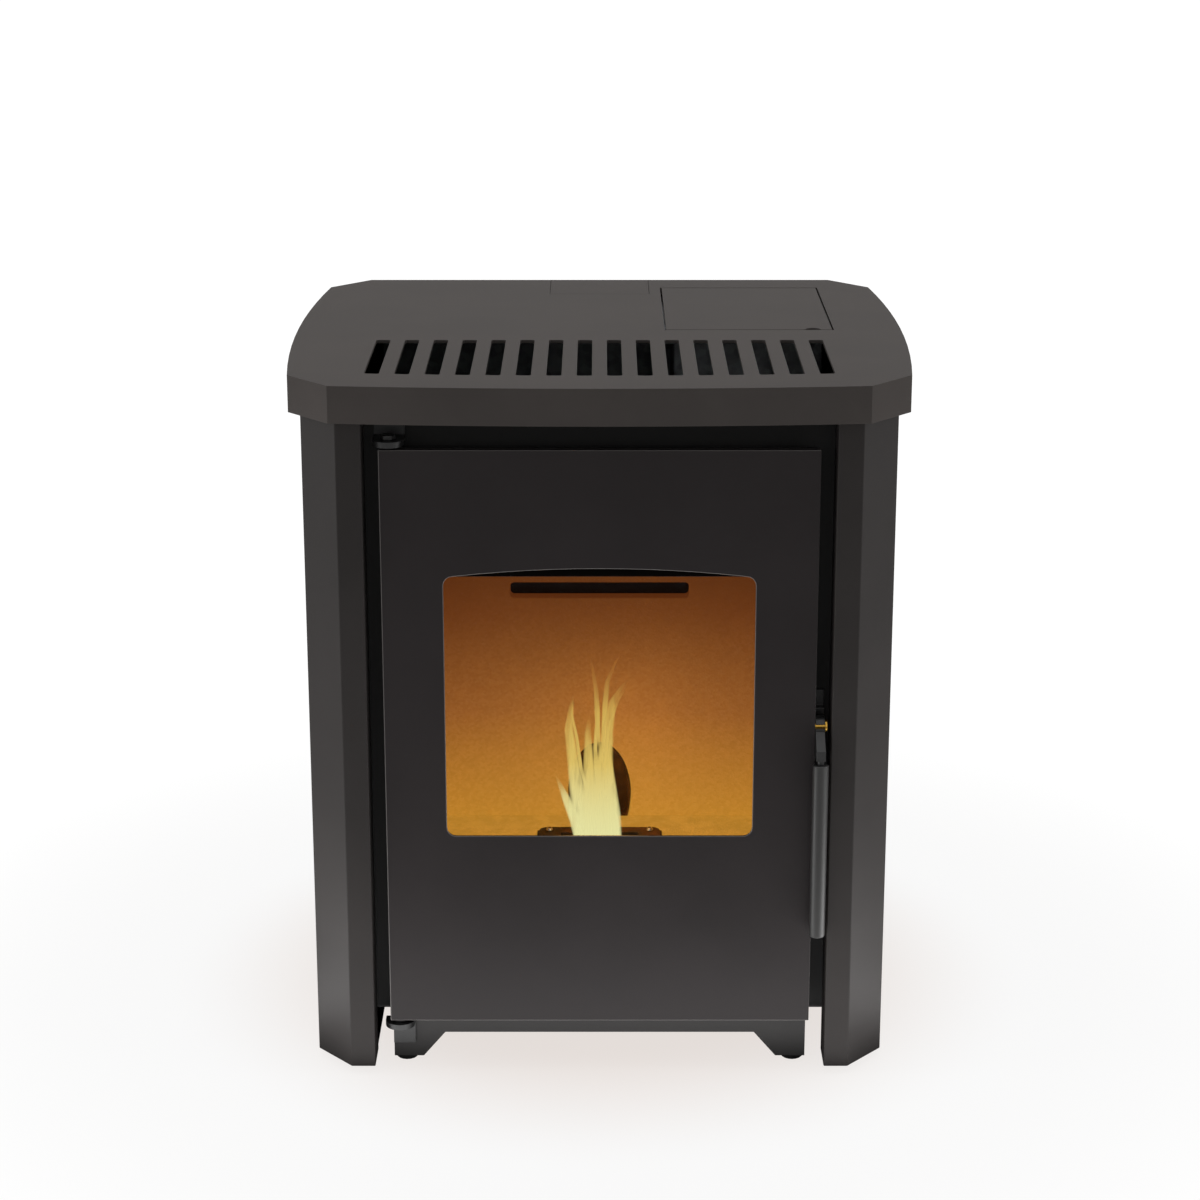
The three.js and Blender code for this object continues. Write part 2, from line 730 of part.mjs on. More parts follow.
// levelling feet: pad, hexagon collar under the flange and a threaded stem through it
const footProfile = [
  [0, 0], [footPadRadius - 1, 0], [footPadRadius, 1.2], [footPadRadius - 0.6, footPadHeight - 1],
  [footPadRadius - 3, footPadHeight], [0, footPadHeight],
].map(([r, z]) => new THREE.Vector2(r, z));
const pad = solid(new THREE.LatheGeometry(footProfile, 16).rotateX(Math.PI / 2));
const footBody = join(
  pad,
  cylinder('z', footStemRadius * 1.7, [footPadHeight - 1, footFlangeZ - gap], [0, 0], 6),
  cylinder('z', footStemRadius, [footPadHeight - 1, floorBottom - 6], [0, 0], 12),
);
footPlaces.forEach(([x, y], i) => piece(casing, `levelling_foot_${i + 1}`, footBody, rubber, [x, y, 0]));

// ---- firebox -----------------------------------------------------------------------------------
const firebox = assembly();
const shellFrontY = frontPlateRearY + gap;
const shellInnerX = fireboxHalfWidth - fireboxSheet;
const shellInnerRearY = fireboxRearY - fireboxSheet;
const shellBottom = plinthTop + gap;
const liningFaceY = shellInnerRearY - gap - liningThickness; // front of the back lining
const hearthBottom = hearthTop - hearthSheet;

// The pellet chute's axis climbs backward from the back lining to the auger's axis.
const chuteRise = Math.atan2(augerTopZ - chuteMouthZ, augerY - liningFaceY);
const chuteLength = Math.hypot(augerTopZ - chuteMouthZ, augerY - liningFaceY);
function chuteCylinder(radius, from, to, sides = 20) {
  const geometry = new THREE.CylinderGeometry(radius, radius, to - from, sides);
  geometry.translate(0, (from + to) / 2, 0);
  geometry.rotateX(chuteRise);
  geometry.translate(0, liningFaceY, chuteMouthZ);
  return solid(geometry);
}
const chuteHole = chuteCylinder(chuteRadius + gap, -80, 80);
const pipeHole = cylinder('y', airPipeRadius + gap, [shellInnerRearY - 30, fireboxRearY + 1],
  [airPipeX, airPipeZ], 20);
const igniterHole = cylinder('y', igniterRadius + gap, [potCentreY, fireboxRearY + 1], [igniterX, airPipeZ], 12);
const smokeOpening = [smokeDuctLeftX + 6, smokeDuctRightX - 6];
const smokeOpeningZ = [liningTop + baffleThickness + 8, fireboxTop - fireboxSheet - 6];

const hearthLedges = [-1, 1].map((side) => {
  const xs = [side * (shellInnerX + 1), side * (shellInnerX - 12)].sort((a, b) => a - b);
  return block(xs, [shellFrontY + 6, shellInnerRearY], [hearthBottom - gap - 3, hearthBottom - gap]);
});
piece(firebox, 'firebox_shell', cut(
  join(
    cut(
      block([-fireboxHalfWidth, fireboxHalfWidth], [shellFrontY, fireboxRearY], [shellBottom, fireboxTop]),
      block([-shellInnerX, shellInnerX], [shellFrontY - 1, shellInnerRearY],
        [mouthBottom, fireboxTop - fireboxSheet]),
      block([-shellInnerX, shellInnerX], [shellFrontY - 1, shellInnerRearY],
        [shellBottom - 1, mouthBottom - fireboxSheet]),
    ),
    ...hearthLedges,
  ),
  chuteHole,
  pipeHole,
  igniterHole,
  block(smokeOpening, [shellInnerRearY - 1, fireboxRearY + 1], smokeOpeningZ),
), innerPaint);

const hearthInnerX = shellInnerX - gap;
const hearthRearY = shellInnerRearY - gap;
const hearthFrontY = shellFrontY + gap;
const seatX = [-seatWidth / 2, seatWidth / 2];
const seatY = [potCentreY - seatLength / 2, potCentreY + seatLength / 2];
piece(firebox, 'hearth_plate', prism('z', rectangle([-hearthInnerX, hearthInnerX], [hearthFrontY, hearthRearY]),
  [hearthBottom, hearthTop],
  [rectangle([seatX[0] - gap, seatX[1] + gap], [seatY[0] - gap, seatY[1] + gap])]), castIron);

const liningBottom = hearthTop + gap;
piece(firebox, 'back_lining', cut(
  block([-hearthInnerX, hearthInnerX], [liningFaceY, hearthRearY], [liningBottom, liningTop]),
  prism('y', roundedRectangle([-smokeSlotHalfWidth, smokeSlotHalfWidth],
    [smokeSlotBottom, smokeSlotBottom + smokeSlotHeight], 4, 2), [liningFaceY - 1, hearthRearY + 1]),
  chuteHole,
), vermiculite);
for (const [name, side] of [['left_lining', -1], ['right_lining', 1]]) {
  const xs = [side * hearthInnerX, side * (hearthInnerX - liningThickness)].sort((a, b) => a - b);
  piece(firebox, name, block(xs, [hearthFrontY, liningFaceY - gap], [liningBottom, liningTop]), vermiculite);
}
piece(firebox, 'baffle', block([-hearthInnerX, hearthInnerX], [baffleFrontY, hearthRearY],
  [liningTop + gap, liningTop + gap + baffleThickness]), vermiculite);

// ---- burn pot, seat, igniter, ash pan ------------------------------------------------------------
const seatTop = hearthTop + gap;
const seatFlangeX = [-potFlangeWidth / 2 - 2, potFlangeWidth / 2 + 2];
const seatFlangeY = [potCentreY - potFlangeDepth / 2 - 2, potCentreY + potFlangeDepth / 2 + 2];
const potFlangeBottom = seatTop + seatSheet + gap;
const potTop = potFlangeBottom + potFlangeSheet;
const ductX = [seatX[1] - seatSheet, seatX[1] + airDuctWidth];
const ductY = [potCentreY - 14, hearthRearY - 4];
piece(firebox, 'burn_pot_seat', cut(
  join(
    block(seatX, seatY, [seatBottom, seatTop + seatSheet]),
    block(seatFlangeX, seatFlangeY, [seatTop, seatTop + seatSheet]),
    block(ductX, ductY, [airDuctBottom, airDuctTop]),
  ),
  block(inside(seatX, seatSheet), inside(seatY, seatSheet), [seatBottom + seatSheet, potTop]),
  block([seatX[1] - seatSheet - 1, ductX[1] - seatSheet], inside(ductY, seatSheet),
    [airDuctBottom + seatSheet, airDuctTop - seatSheet]),
  pipeHole,
  igniterHole,
), castIron);

const potBottom = potFlangeBottom - potHeight;
const potX = [-potWidth / 2, potWidth / 2];
const potY = [potCentreY - potLength / 2, potCentreY + potLength / 2];
const potHoles = [];
for (let column = -2; column <= 2; column += 1) {
  for (let row = -1; row <= 1; row += 1) {
    potHoles.push(cylinder('z', potHoleRadius, [potBottom - 1, potBottom + potWall + 1],
      [column * potHolePitch, potCentreY + row * potHolePitch], 8));
  }
}
piece(firebox, 'burn_pot', cut(
  join(
    block(potX, potY, [potBottom, potTop - 1]),
    prism('z', roundedRectangle([-potFlangeWidth / 2, potFlangeWidth / 2],
      [potCentreY - potFlangeDepth / 2, potCentreY + potFlangeDepth / 2], potFlangeCorner),
    [potFlangeBottom, potTop]),
  ),
  block(inside(potX, potWall), inside(potY, potWall), [potBottom + potWall, potTop + 1]),
  ...potHoles,
), castIron);

const igniterTipY = seatY[1] - seatSheet + gap;
piece(firebox, 'igniter', join(
  cylinder('y', igniterRadius, [igniterTipY, fireboxRearY + 12], [igniterX, airPipeZ], 12),
  cylinder('y', igniterRadius + 4, [fireboxRearY + gap, fireboxRearY + 8], [igniterX, airPipeZ], 6),
), stainless);

const panX = [-ashPanHalfWidth, ashPanHalfWidth];
const panY = [shellFrontY + 8, shellInnerRearY - 12];
const panBottom = mouthBottom + gap;
const panTop = panBottom + ashPanHeight;
const pullX = [-ashPanPullWidth / 2, ashPanPullWidth / 2];
const pullY = [panY[0] - ashPanPullReach, panY[0] + ashPanSheet / 2];
const pullZ = [panTop - 6, panTop - 3];
piece(firebox, 'ash_pan', join(
  cut(
    block(panX, panY, [panBottom, panTop]),
    block(inside(panX, ashPanSheet), inside(panY, ashPanSheet), [panBottom + ashPanSheet, panTop + 1]),
  ),
  cut(
    block(pullX, pullY, pullZ),
    block(inside(pullX, ashPanPullBar), [pullY[0] + ashPanPullBar, panY[0]], grown(pullZ, 1)),
  ),
), galvanised);

// combustion air pipe, from the back panel to the duct beside the burn pot's seat
const airPipeSpan = [ductY[1] - seatSheet, backPanelRearY + 14];
piece(firebox, 'combustion_air_pipe',
  tube('y', airPipeRadius, airPipeRadius - airPipeWall, airPipeSpan, [airPipeX, airPipeZ], 20), galvanised);

// ---- heat exchanger tubes lying on the firebox ---------------------------------------------------
const airTubeBody = tube('y', airTubeRadius, airTubeRadius - airTubeWall, [airTubeFrontY, airTubeRearY], [0, 0], 16);
for (let i = 0; i < 4; i += 1) {
  const x = (i - 1.5) * airTubePitch;
  piece(firebox, `air_tube_${i + 1}`, airTubeBody, galvanised, [x, 0, fireboxTop + gap + airTubeRadius]);
}

// ---- hopper --------------------------------------------------------------------------------------
const feed = assembly();
const hopperX = [lidLeftX + hopperMargin, lidRightX - hopperMargin];
const hopperY = [hopperFrontY, hopperRearY];
const throatX = [throatLeftX, throatLeftX + throatLength];
const throatY = [augerY - throatWidth / 2, augerY + throatWidth / 2];

// Solid of the hopper's body at a distance inside its outer faces.
function hopperBody(inset, top) {
  const [x, y] = [inside(hopperX, inset), inside(hopperY, inset)];
  const [tx, ty] = [inside(throatX, inset), inside(throatY, inset)];
  return join(
    block(x, y, [hopperFunnelTop - 1, top]),
    loft([tx, ty, hopperFunnelBottom], [x, y, hopperFunnelTop]),
    block(tx, ty, [augerTopZ - augerReach, hopperFunnelBottom + 1]),
  );
}

// The auger runs in its own frame: its axis is local z, from the chute down to the motor.
const auger = assembly(feed, [0, augerY, augerTopZ]);
auger.rotation.y = Math.PI - THREE.MathUtils.degToRad(augerTilt);
auger.updateMatrixWorld(true);
const toStove = auger.matrixWorld.clone();
const toAuger = toStove.clone().invert();
function augerCylinder(radius, from, to, sides = 20) {
  const geometry = new THREE.CylinderGeometry(radius, radius, to - from, sides);
  geometry.rotateX(Math.PI / 2);
  geometry.translate(0, 0, (from + to) / 2);
  return geometry;
}
const augerSpace = solid(augerCylinder(augerTubeRadius + gap, -augerHead - 20, augerReach + 80)
  .applyMatrix4(toStove));
// everything on the underside of the auger's axis, in the auger's frame
function augerUnderside() {
  const side = 4 * augerTubeRadius;
  return new THREE.BoxGeometry(side, side, 2 * augerReach).translate(side / 2, 0, augerReach / 2);
}
const flangeX = [hopperX[0] - hopperMargin - flangeMargin, hopperX[1] + hopperMargin + flangeMargin];
const flangeY = [lidFrontY - lidSlit - 1, lidPivotY - lugReach - 1.5];
const collarTop = topUnderside - gap;
piece(feed, 'hopper', cut(
  join(
    hopperBody(0, flangeTop),
    block(flangeX, flangeY, [flangeTop - hopperSheet, flangeTop]),
    block([flangeX[0], flangeX[0] + hopperSheet], flangeY, [flangeTop - hopperSheet, collarTop]),
    block([flangeX[1] - hopperSheet, flangeX[1]], flangeY, [flangeTop - hopperSheet, collarTop]),
    block(flangeX, [flangeY[0], flangeY[0] + hopperSheet], [flangeTop - hopperSheet, collarTop]),
  ),
  hopperBody(hopperSheet, flangeTop + 1),
  augerSpace,
  solid(augerUnderside().applyMatrix4(toStove)),
), galvanised);

// guard grid at the top of the funnel: square bars welded across each other, with overhanging ends
const guardX = inside(hopperX, hopperSheet + gap);
const guardY = inside(hopperY, hopperSheet + gap);
const guardBottom = hopperFunnelTop + gap;
const guardMiddle = guardBottom + guardBar - guardWeld;

// Spans of a number of bars spread evenly over a span.
function barSpans(span, bars) {
  const [low, high] = inside(span, guardOverhang);
  const pitch = (high - low - guardBar) / (bars - 1);
  return Array.from({ length: bars }, (_, i) => [low + i * pitch, low + i * pitch + guardBar]);
}
piece(feed, 'hopper_guard', join(
  ...barSpans(guardY, guardBarsAcross).map((ys) => block(guardX, ys, [guardBottom, guardBottom + guardBar])),
  ...barSpans(guardX, guardBarsDeep).map((xs) => block(xs, guardY, [guardMiddle, guardMiddle + guardBar])),
), galvanised);

// ---- auger: tube, helical screw, gearmotor -------------------------------------------------------
const throatCut = solid(new THREE.BoxGeometry(throatLength - 2 * hopperSheet, throatWidth - 2 * hopperSheet, 260)
  .translate(throatLeftX + throatLength / 2, augerY, hopperFunnelBottom + 20)
  .applyMatrix4(toAuger));
const chuteCutGeometry = new THREE.CylinderGeometry(chuteRadius - chuteWall, chuteRadius - chuteWall, chuteLength, 20);
chuteCutGeometry.translate(0, chuteLength / 2, 0);
chuteCutGeometry.rotateX(chuteRise);
chuteCutGeometry.translate(0, liningFaceY, chuteMouthZ);
const chuteBoreCut = solid(chuteCutGeometry.applyMatrix4(toAuger));
const tubeWalls = cut(
  solid(augerCylinder(augerTubeRadius, -augerHead, augerReach)),
  solid(augerCylinder(augerTubeRadius - augerTubeWall, -augerHead + augerTubeWall, augerReach + 1)),
);
piece(auger, 'auger_tube', cut(
  tubeWalls,
  throatCut.subtract(solid(augerUnderside())),
  chuteBoreCut,
  solid(augerCylinder(augerShaftRadius * 0.6 + gap, -augerHead - 1, -augerHead + augerTubeWall + 1, 12)),
), galvanised);

// A helical flight of rectangular section round the local z axis.
function helicalFlight(innerRadius, outerRadius, thickness, pitch, length, stepsPerTurn) {
  const steps = Math.round(length / pitch * stepsPerTurn);
  const positions = [];
  for (let i = 0; i <= steps; i += 1) {
    const angle = 2 * Math.PI * i / stepsPerTurn;
    const z = pitch * i / stepsPerTurn;
    for (const [r, dz] of [[innerRadius, 0], [outerRadius, 0], [outerRadius, thickness], [innerRadius, thickness]]) {
      positions.push(r * Math.cos(angle), r * Math.sin(angle), z + dz);
    }
  }
  const indices = [0, 1, 2, 0, 2, 3];
  for (let i = 0; i < steps; i += 1) {
    for (let side = 0; side < 4; side += 1) {
      const [a, b] = [i * 4 + side, i * 4 + (side + 1) % 4];
      indices.push(a, b + 4, b, a, a + 4, b + 4);
    }
  }
  const last = steps * 4;
  indices.push(last, last + 2, last + 1, last, last + 3, last + 2);
  const geometry = new THREE.BufferGeometry();
  geometry.setAttribute('position', new THREE.Float32BufferAttribute(positions, 3));
  geometry.setIndex(indices);
  return geometry;
}
const flightStart = -6;
const flightLength = augerReach - 10 - flightStart;
piece(auger, 'auger_screw', join(
  solid(helicalFlight(augerShaftRadius - 2, augerScrewRadius, augerFlight, augerPitch, flightLength, 12)
    .translate(0, 0, flightStart)),
  solid(augerCylinder(augerShaftRadius, -augerHead + augerTubeWall + 1, augerReach - 1, 14)),
  solid(augerCylinder(augerShaftRadius * 0.6, -augerHead - 4, augerReach + 12, 12)),
), stainless);

const gearboxStart = augerReach + gap;
const motorBlock = new THREE.BoxGeometry(gearboxSize, gearboxSize, gearboxLength)
  .translate(0, 0, gearboxStart + gearboxLength / 2);
piece(auger, 'auger_motor', cut(
  join(
    solid(motorBlock),
    solid(augerCylinder(augerMotorRadius, gearboxStart + gearboxLength - 1,
      gearboxStart + gearboxLength + augerMotorLength)),
  ),
  solid(augerCylinder(augerShaftRadius * 0.6 + gap, gearboxStart - 1, augerReach + 14, 12)),
), blackSteel);

// chute: inclined tube between the auger and the firebox, cut upright at its mouth
piece(feed, 'chute_tube', cut(
  chuteCylinder(chuteRadius, -60, chuteLength),
  chuteCylinder(chuteRadius - chuteWall, -70, chuteLength + 10),
  augerSpace,
  block([-60, 60], [liningFaceY - 90, liningFaceY - chuteMouthReach], [chuteMouthZ - 120, chuteMouthZ + 120]),
), castIron);

// ---- exhaust: smoke duct, fan and flue outlet ----------------------------------------------------
const exhaust = assembly();
const ductFrontY = fireboxRearY + gap;
const smokeX = [smokeDuctLeftX, smokeDuctRightX];
const smokeY = [ductFrontY, ductFrontY + smokeDuctDepth];
const smokeBoxX = [smokeDuctLeftX, -exhaustHalfWidth - gap];
const smokeTop = fireboxTop - fireboxSheet;
piece(exhaust, 'smoke_duct', cut(
  join(
    block(smokeX, smokeY, [smokeBoxBottom, smokeTop]),
    block(smokeBoxX, [ductFrontY, smokeBoxRearY], [smokeBoxBottom, smokeBoxTop]),
  ),
  block(inside(smokeX, smokeDuctSheet), inside(smokeY, smokeDuctSheet),
    [smokeBoxBottom + smokeDuctSheet, smokeTop - smokeDuctSheet]),
  block(inside(smokeBoxX, smokeDuctSheet), inside([ductFrontY, smokeBoxRearY], smokeDuctSheet),
    inside([smokeBoxBottom, smokeBoxTop], smokeDuctSheet)),
  block(smokeOpening, [ductFrontY - 1, ductFrontY + smokeDuctSheet + 1], smokeOpeningZ),
  cylinder('x', exhaustInletRadius, [smokeBoxX[1] - smokeDuctSheet - 1, smokeBoxX[1] + 1],
    [exhaustY, exhaustZ], 24),
), galvanised);

// The scroll grows steadily from the cut-off, past the bottom and front, to the top of the outlet.
function scroll(inset) {
  const [start, end, steps] = [20, -270, 24];
  return Array.from({ length: steps + 1 }, (_, i) => {
    const angle = THREE.MathUtils.degToRad(start + (end - start) * i / steps);
    const radius = scrollStart + (scrollEnd - scrollStart) * i / steps - inset;
    return [exhaustY + radius * Math.cos(angle), exhaustZ + radius * Math.sin(angle)];
  }).reverse();
}
const outletTop = exhaustZ + scrollEnd;
const outletZ = [outletTop - 2 * flueRadius, outletTop];
const exhaustX = [-exhaustHalfWidth, exhaustHalfWidth];
piece(exhaust, 'exhaust_housing', cut(
  join(
    prism('x', scroll(0), exhaustX),
    block(exhaustX, [exhaustY, exhaustOutletY], outletZ),
  ),
  prism('x', scroll(scrollWall), inside(exhaustX, scrollWall)),
  block(inside(exhaustX, scrollWall), [exhaustY, exhaustOutletY + 1], inside(outletZ, scrollWall)),
  cylinder('x', exhaustInletRadius, [exhaustX[0] - 1, exhaustX[0] + scrollWall + 1], [exhaustY, exhaustZ], 24),
  cylinder('x', exhaustShaftRadius + gap, [exhaustX[1] - scrollWall - 1, exhaustX[1] + 1],
    [exhaustY, exhaustZ], 12),
), castIron);

// impeller: back disc, radial blades leaning back, hub and shaft, about its own axis
const wheel = assembly(exhaust, [0, exhaustY, exhaustZ]);
const bladeX = [-22, 18];
const blades = Array.from({ length: impellerBlades }, (_, i) => {
  const geometry = new THREE.BoxGeometry(bladeX[1] - bladeX[0], 2, impellerRadius - 16)
    .translate((bladeX[0] + bladeX[1]) / 2, 0, (impellerRadius + 16) / 2 - 1)
    .applyMatrix4(new THREE.Matrix4().makeRotationX(0.42).setPosition(0, 0, 0));
  geometry.translate(0, 5, 0);
  geometry.rotateX(2 * Math.PI * i / impellerBlades);
  return solid(geometry);
});
piece(wheel, 'exhaust_impeller', join(
  cylinder('x', impellerRadius, [bladeX[1] - 1, bladeX[1] + 2], [0, 0], 24),
  cylinder('x', 11, [bladeX[0] + 14, bladeX[1] + 2], [0, 0], 14),
  cylinder('x', exhaustShaftRadius, [bladeX[0] + 8, exhaustHalfWidth + 18], [0, 0], 12),
  ...blades,
), stainless);
const exhaustMotorX = [exhaustHalfWidth + gap, exhaustHalfWidth + gap + exhaustMotorLength];
piece(wheel, 'exhaust_motor', cut(
  join(
    cylinder('x', exhaustMotorRadius, [exhaustMotorX[0] + 6, exhaustMotorX[1]], [0, 0], 20),
    cylinder('x', exhaustMotorRadius - 8, exhaustMotorX, [0, 0], 16),
  ),
  cylinder('x', exhaustShaftRadius + gap, [exhaustMotorX[0] - 1, exhaustHalfWidth + 20], [0, 0], 12),
), galvanised);

piece(exhaust, 'flue_spigot', cut(
  join(
    block([-exhaustHalfWidth, exhaustHalfWidth], [exhaustOutletY + gap, exhaustOutletY + gap + 3], outletZ),
    cylinder('y', flueRadius, [exhaustOutletY + gap, flueEndY], [0, flueZ], 32),
  ),
  cylinder('y', flueRadius - flueWall, [exhaustOutletY - 1, flueEndY + 1], [0, flueZ], 32),
), blackSteel);

// ---- room fan: cross-flow rotor in a scroll housing that blows over the firebox ------------------
const roomFan = assembly(stove, [0, roomFanY, roomFanZ]);
const fanX = [roomFanLeftX, roomFanRightX];
const boreX = inside(fanX, roomFanWall);
const ductLow = fireboxTop + gap - roomFanZ;
const ductHigh = ductLow + roomFanDuctHeight;
const ductMouthY = airTubeRearY + 4 - roomFanY;
piece(roomFan, 'room_fan_housing', cut(
  join(
    cylinder('x', roomFanBore + roomFanWall, fanX, [0, 0], 24),
    block(fanX, [ductMouthY, 0], [ductLow, ductHigh]),
  ),
  cylinder('x', roomFanBore, boreX, [0, 0], 24),
  block(boreX, [ductMouthY - 1, -2], inside([ductLow, ductHigh], roomFanWall)),
  block(boreX, [4, roomFanBore + 5], [-roomFanBore - 5, -2]),
  cylinder('x', roomFanShaftRadius + gap, [fanX[0] - 1, fanX[1] + 1], [0, 0], 12),
), galvanised);
const rotorX = inside(boreX, 4);
const rotorVanes = Array.from({ length: rotorBlades }, (_, i) => solid(
  new THREE.BoxGeometry(rotorX[1] - rotorX[0], 1.2, 7)
    .rotateX(0.5)
    .translate((rotorX[0] + rotorX[1]) / 2, 0, rotorRadius - 4.4)
    .rotateX(2 * Math.PI * i / rotorBlades)));
const rotorDiscs = [rotorX[0], (rotorX[0] + rotorX[1]) / 2, rotorX[1] - 2].map(
  (x) => cylinder('x', rotorRadius, [x, x + 2], [0, 0], 24));
piece(roomFan, 'room_fan_rotor', join(
  cylinder('x', roomFanShaftRadius, [fanX[0] - 16, fanX[1] + 3], [0, 0], 12),
  ...rotorDiscs,
  ...rotorVanes,
), galvanised);
piece(roomFan, 'room_fan_motor', cut(
  cylinder('x', roomFanMotorRadius, [fanX[0] - gap - roomFanMotorLength, fanX[0] - gap], [0, 0], 20),
  cylinder('x', roomFanShaftRadius + gap, [fanX[0] - 18, fanX[0] + 1], [0, 0], 12),
), blackSteel);

// ---- electrics -----------------------------------------------------------------------------------
const electrics = assembly();
const standoffEnd = backPanelY - gap;
const boardX = [boardCentreX - boardWidth / 2, boardCentreX + boardWidth / 2];
const boardZ = [boardBottom, boardBottom + boardHeight];
const boardY = [standoffEnd - boardStandoff - 1.6, standoffEnd - boardStandoff];
const standoffs = [0, 1].flatMap((i) => [0, 1].map((k) => cylinder('y', 3, [boardY[1] - 1, standoffEnd],
  [inside(boardX, 6)[i], inside(boardZ, 6)[k]], 8)));
const partsOnBoard = [[18, 40, 20, 46, 26], [58, 92, 24, 52, 22], [20, 34, 64, 100, 14], [48, 96, 76, 88, 12],
  [48, 96, 98, 110, 12]].map(([x0, x1, z0, z1, tall]) => block([boardX[0] + x0, boardX[0] + x1],
  [boardY[0] - tall, boardY[0] + 0.5], [boardBottom + z0, boardBottom + z1]));
piece(electrics, 'control_board', join(block(boardX, boardY, boardZ), ...standoffs, ...partsOnBoard), boardGreen);

// mains inlet: a flanged module with the socket below and the rocker switch above
const flangeFaceY = backPanelRearY + gap + inletFlangeSheet;
const socketZ = inletZ - 12;
const rockerZ = inletZ + 17;
piece(electrics, 'mains_inlet', cut(
  join(
    prism('y', roundedRectangle(around(inletX, inletFlangeWidth), around(inletZ, inletFlangeHeight), 4, 2),
      [backPanelRearY + gap, flangeFaceY]),
    block(around(inletX, inletFlangeWidth - 11), [flangeFaceY - inletBodyDepth, flangeFaceY - 1],
      around(inletZ, inletFlangeHeight - 11)),
  ),
  block(around(inletX, socketWidth), [flangeFaceY - socketDepth, flangeFaceY + 1], around(socketZ, socketHeight)),
  block(around(inletX, rockerWidth + 2 * gap), [flangeFaceY - 12, flangeFaceY + 1],
    around(rockerZ, rockerHeight + 2 * gap)),
), blackPlastic);

// The rocker turns on an axis across its module; it is drawn tilted to its off position.
const rockerAxisY = flangeFaceY - 4;
const rocker = assembly(electrics, [inletX, rockerAxisY, rockerZ]);
rocker.rotation.x = THREE.MathUtils.degToRad(rockerTilt);
const rockerHalf = rockerHeight / 2 - 0.7;
piece(rocker, 'power_rocker', prism('x', [
  [-5, -2.5], [-5, 2.5], [1.5, rockerHalf], [4.8, rockerHalf], [3.6, 0], [4.8, -rockerHalf], [1.5, -rockerHalf],
], half(rockerWidth - gap)), redPlastic);

// thermostat clamped behind the back panel, with its reset button through a bush
piece(electrics, 'thermostat', cut(
  join(
    cylinder('y', thermostatRadius, [backPanelY - gap - 18, backPanelY - gap], [inletX, thermostatZ], 16),
    cylinder('y', buttonRadius + 2.5, [backPanelY - gap - 1, backPanelRearY + 3], [inletX, thermostatZ], 16),
  ),
  cylinder('y', buttonRadius + gap, [backPanelY - 12, backPanelRearY + 4], [inletX, thermostatZ], 16),
), blackPlastic);
piece(electrics, 'reset_button', cylinder('y', buttonRadius, [backPanelY - 7, backPanelRearY + 3 + buttonReach],
  [inletX, thermostatZ], 16), redPlastic);

// ---- door ----------------------------------------------------------------------------------------
const door = assembly();
const doorX = [-doorHalfWidth, doorHalfWidth];
const doorZ = [doorBottom, doorTop];
const hingeY = doorFrontY + hingeInset;
const latchY = doorFrontY + latchInset;
const hingeBore = cylinder('z', hingePinRadius + gap, [doorBottom - 1, doorTop + 1], [hingeX, hingeY], 16);
const latchBore = cylinder('x', latchPinRadius + gap, [doorHalfWidth - 20, doorHalfWidth + 1], [latchY, latchZ], 16);

const arched = arc([windowHalfWidth - windowCorner, windowTop], [-windowHalfWidth + windowCorner, windowTop],
  windowArch, 12);
const windowOutline = [
  ...circle(-windowHalfWidth + windowCorner, windowBottom + windowCorner, windowCorner, 16, 180, 90),
  ...circle(windowHalfWidth - windowCorner, windowBottom + windowCorner, windowCorner, 16, 270, 90),
  ...circle(windowHalfWidth - windowCorner, windowTop - windowCorner, windowCorner, 16, 0, 90).slice(0, -1),
  ...arched,
  ...circle(-windowHalfWidth + windowCorner, windowTop - windowCorner, windowCorner, 16, 90, 90).slice(1),
];
piece(door, 'door_panel', cut(
  block(doorX, [doorFrontY, doorFrontY + doorFold], doorZ),
  block(inside(doorX, doorSheet), [doorFrontY + doorSheet, doorFrontY + doorFold + 1], inside(doorZ, doorSheet)),
  prism('y', windowOutline, [doorFrontY - 1, doorFrontY + doorSheet + 1]),
  cut(hingeBore, block([hingeX - 10, hingeX + 10], [hingeY - 10, hingeY + 10], inside(doorZ, doorSheet))),
  latchBore,
), doorPaint);

// inner frame: plate, rope-seal channel, spacers to the panel, hinge blocks and the latch block
const frameY = [doorFrontY + doorFrameSetback, doorFrontY + doorFrameSetback + doorFrameSheet];
const frameX = inside(doorX, doorSheet + 0.5);
const frameZ = [doorBottom + 3, doorTop - 0.5];
const spacerY = [doorFrontY + doorSheet + gap, frameY[0] + 1];
const sealX = [-doorGasketHalfWidth, doorGasketHalfWidth];
const sealZ = [doorGasketBottom, doorGasketTop];
const outerRib = prism('y', rectangle(grown(sealX, gap + gasketRib), grown(sealZ, gap + gasketRib)),
  [frameY[1] - 1, frameY[1] + gasketRibDepth], [rectangle(grown(sealX, gap), grown(sealZ, gap))]);
const sealInX = inside(sealX, doorGasketWidth);
const sealInZ = inside(sealZ, doorGasketWidth);
const innerRib = prism('y', rectangle(inside(sealInX, gap), inside(sealInZ, gap)),
  [frameY[1] - 1, frameY[1] + gasketRibDepth],
  [rectangle(inside(sealInX, gap + gasketRib), inside(sealInZ, gap + gasketRib))]);
const spacers = [-1, 1].flatMap((side) => [0.07, 0.4, 0.93].map((share) => {
  const z = frameZ[0] + (frameZ[1] - frameZ[0]) * share;
  return block(around(side * (windowHalfWidth + glassLap + 12), 14), spacerY, around(z, 14));
}));
const blockX = [frameX[0], hingeX + hingePinRadius + 4];
const hingeBlocks = [
  [frameZ[0], doorBottom + hingePinReach], [doorTop - hingePinReach, doorTop - doorSheet - gap],
].map((zs) => block(blockX, [spacerY[0], frameY[1]], zs));
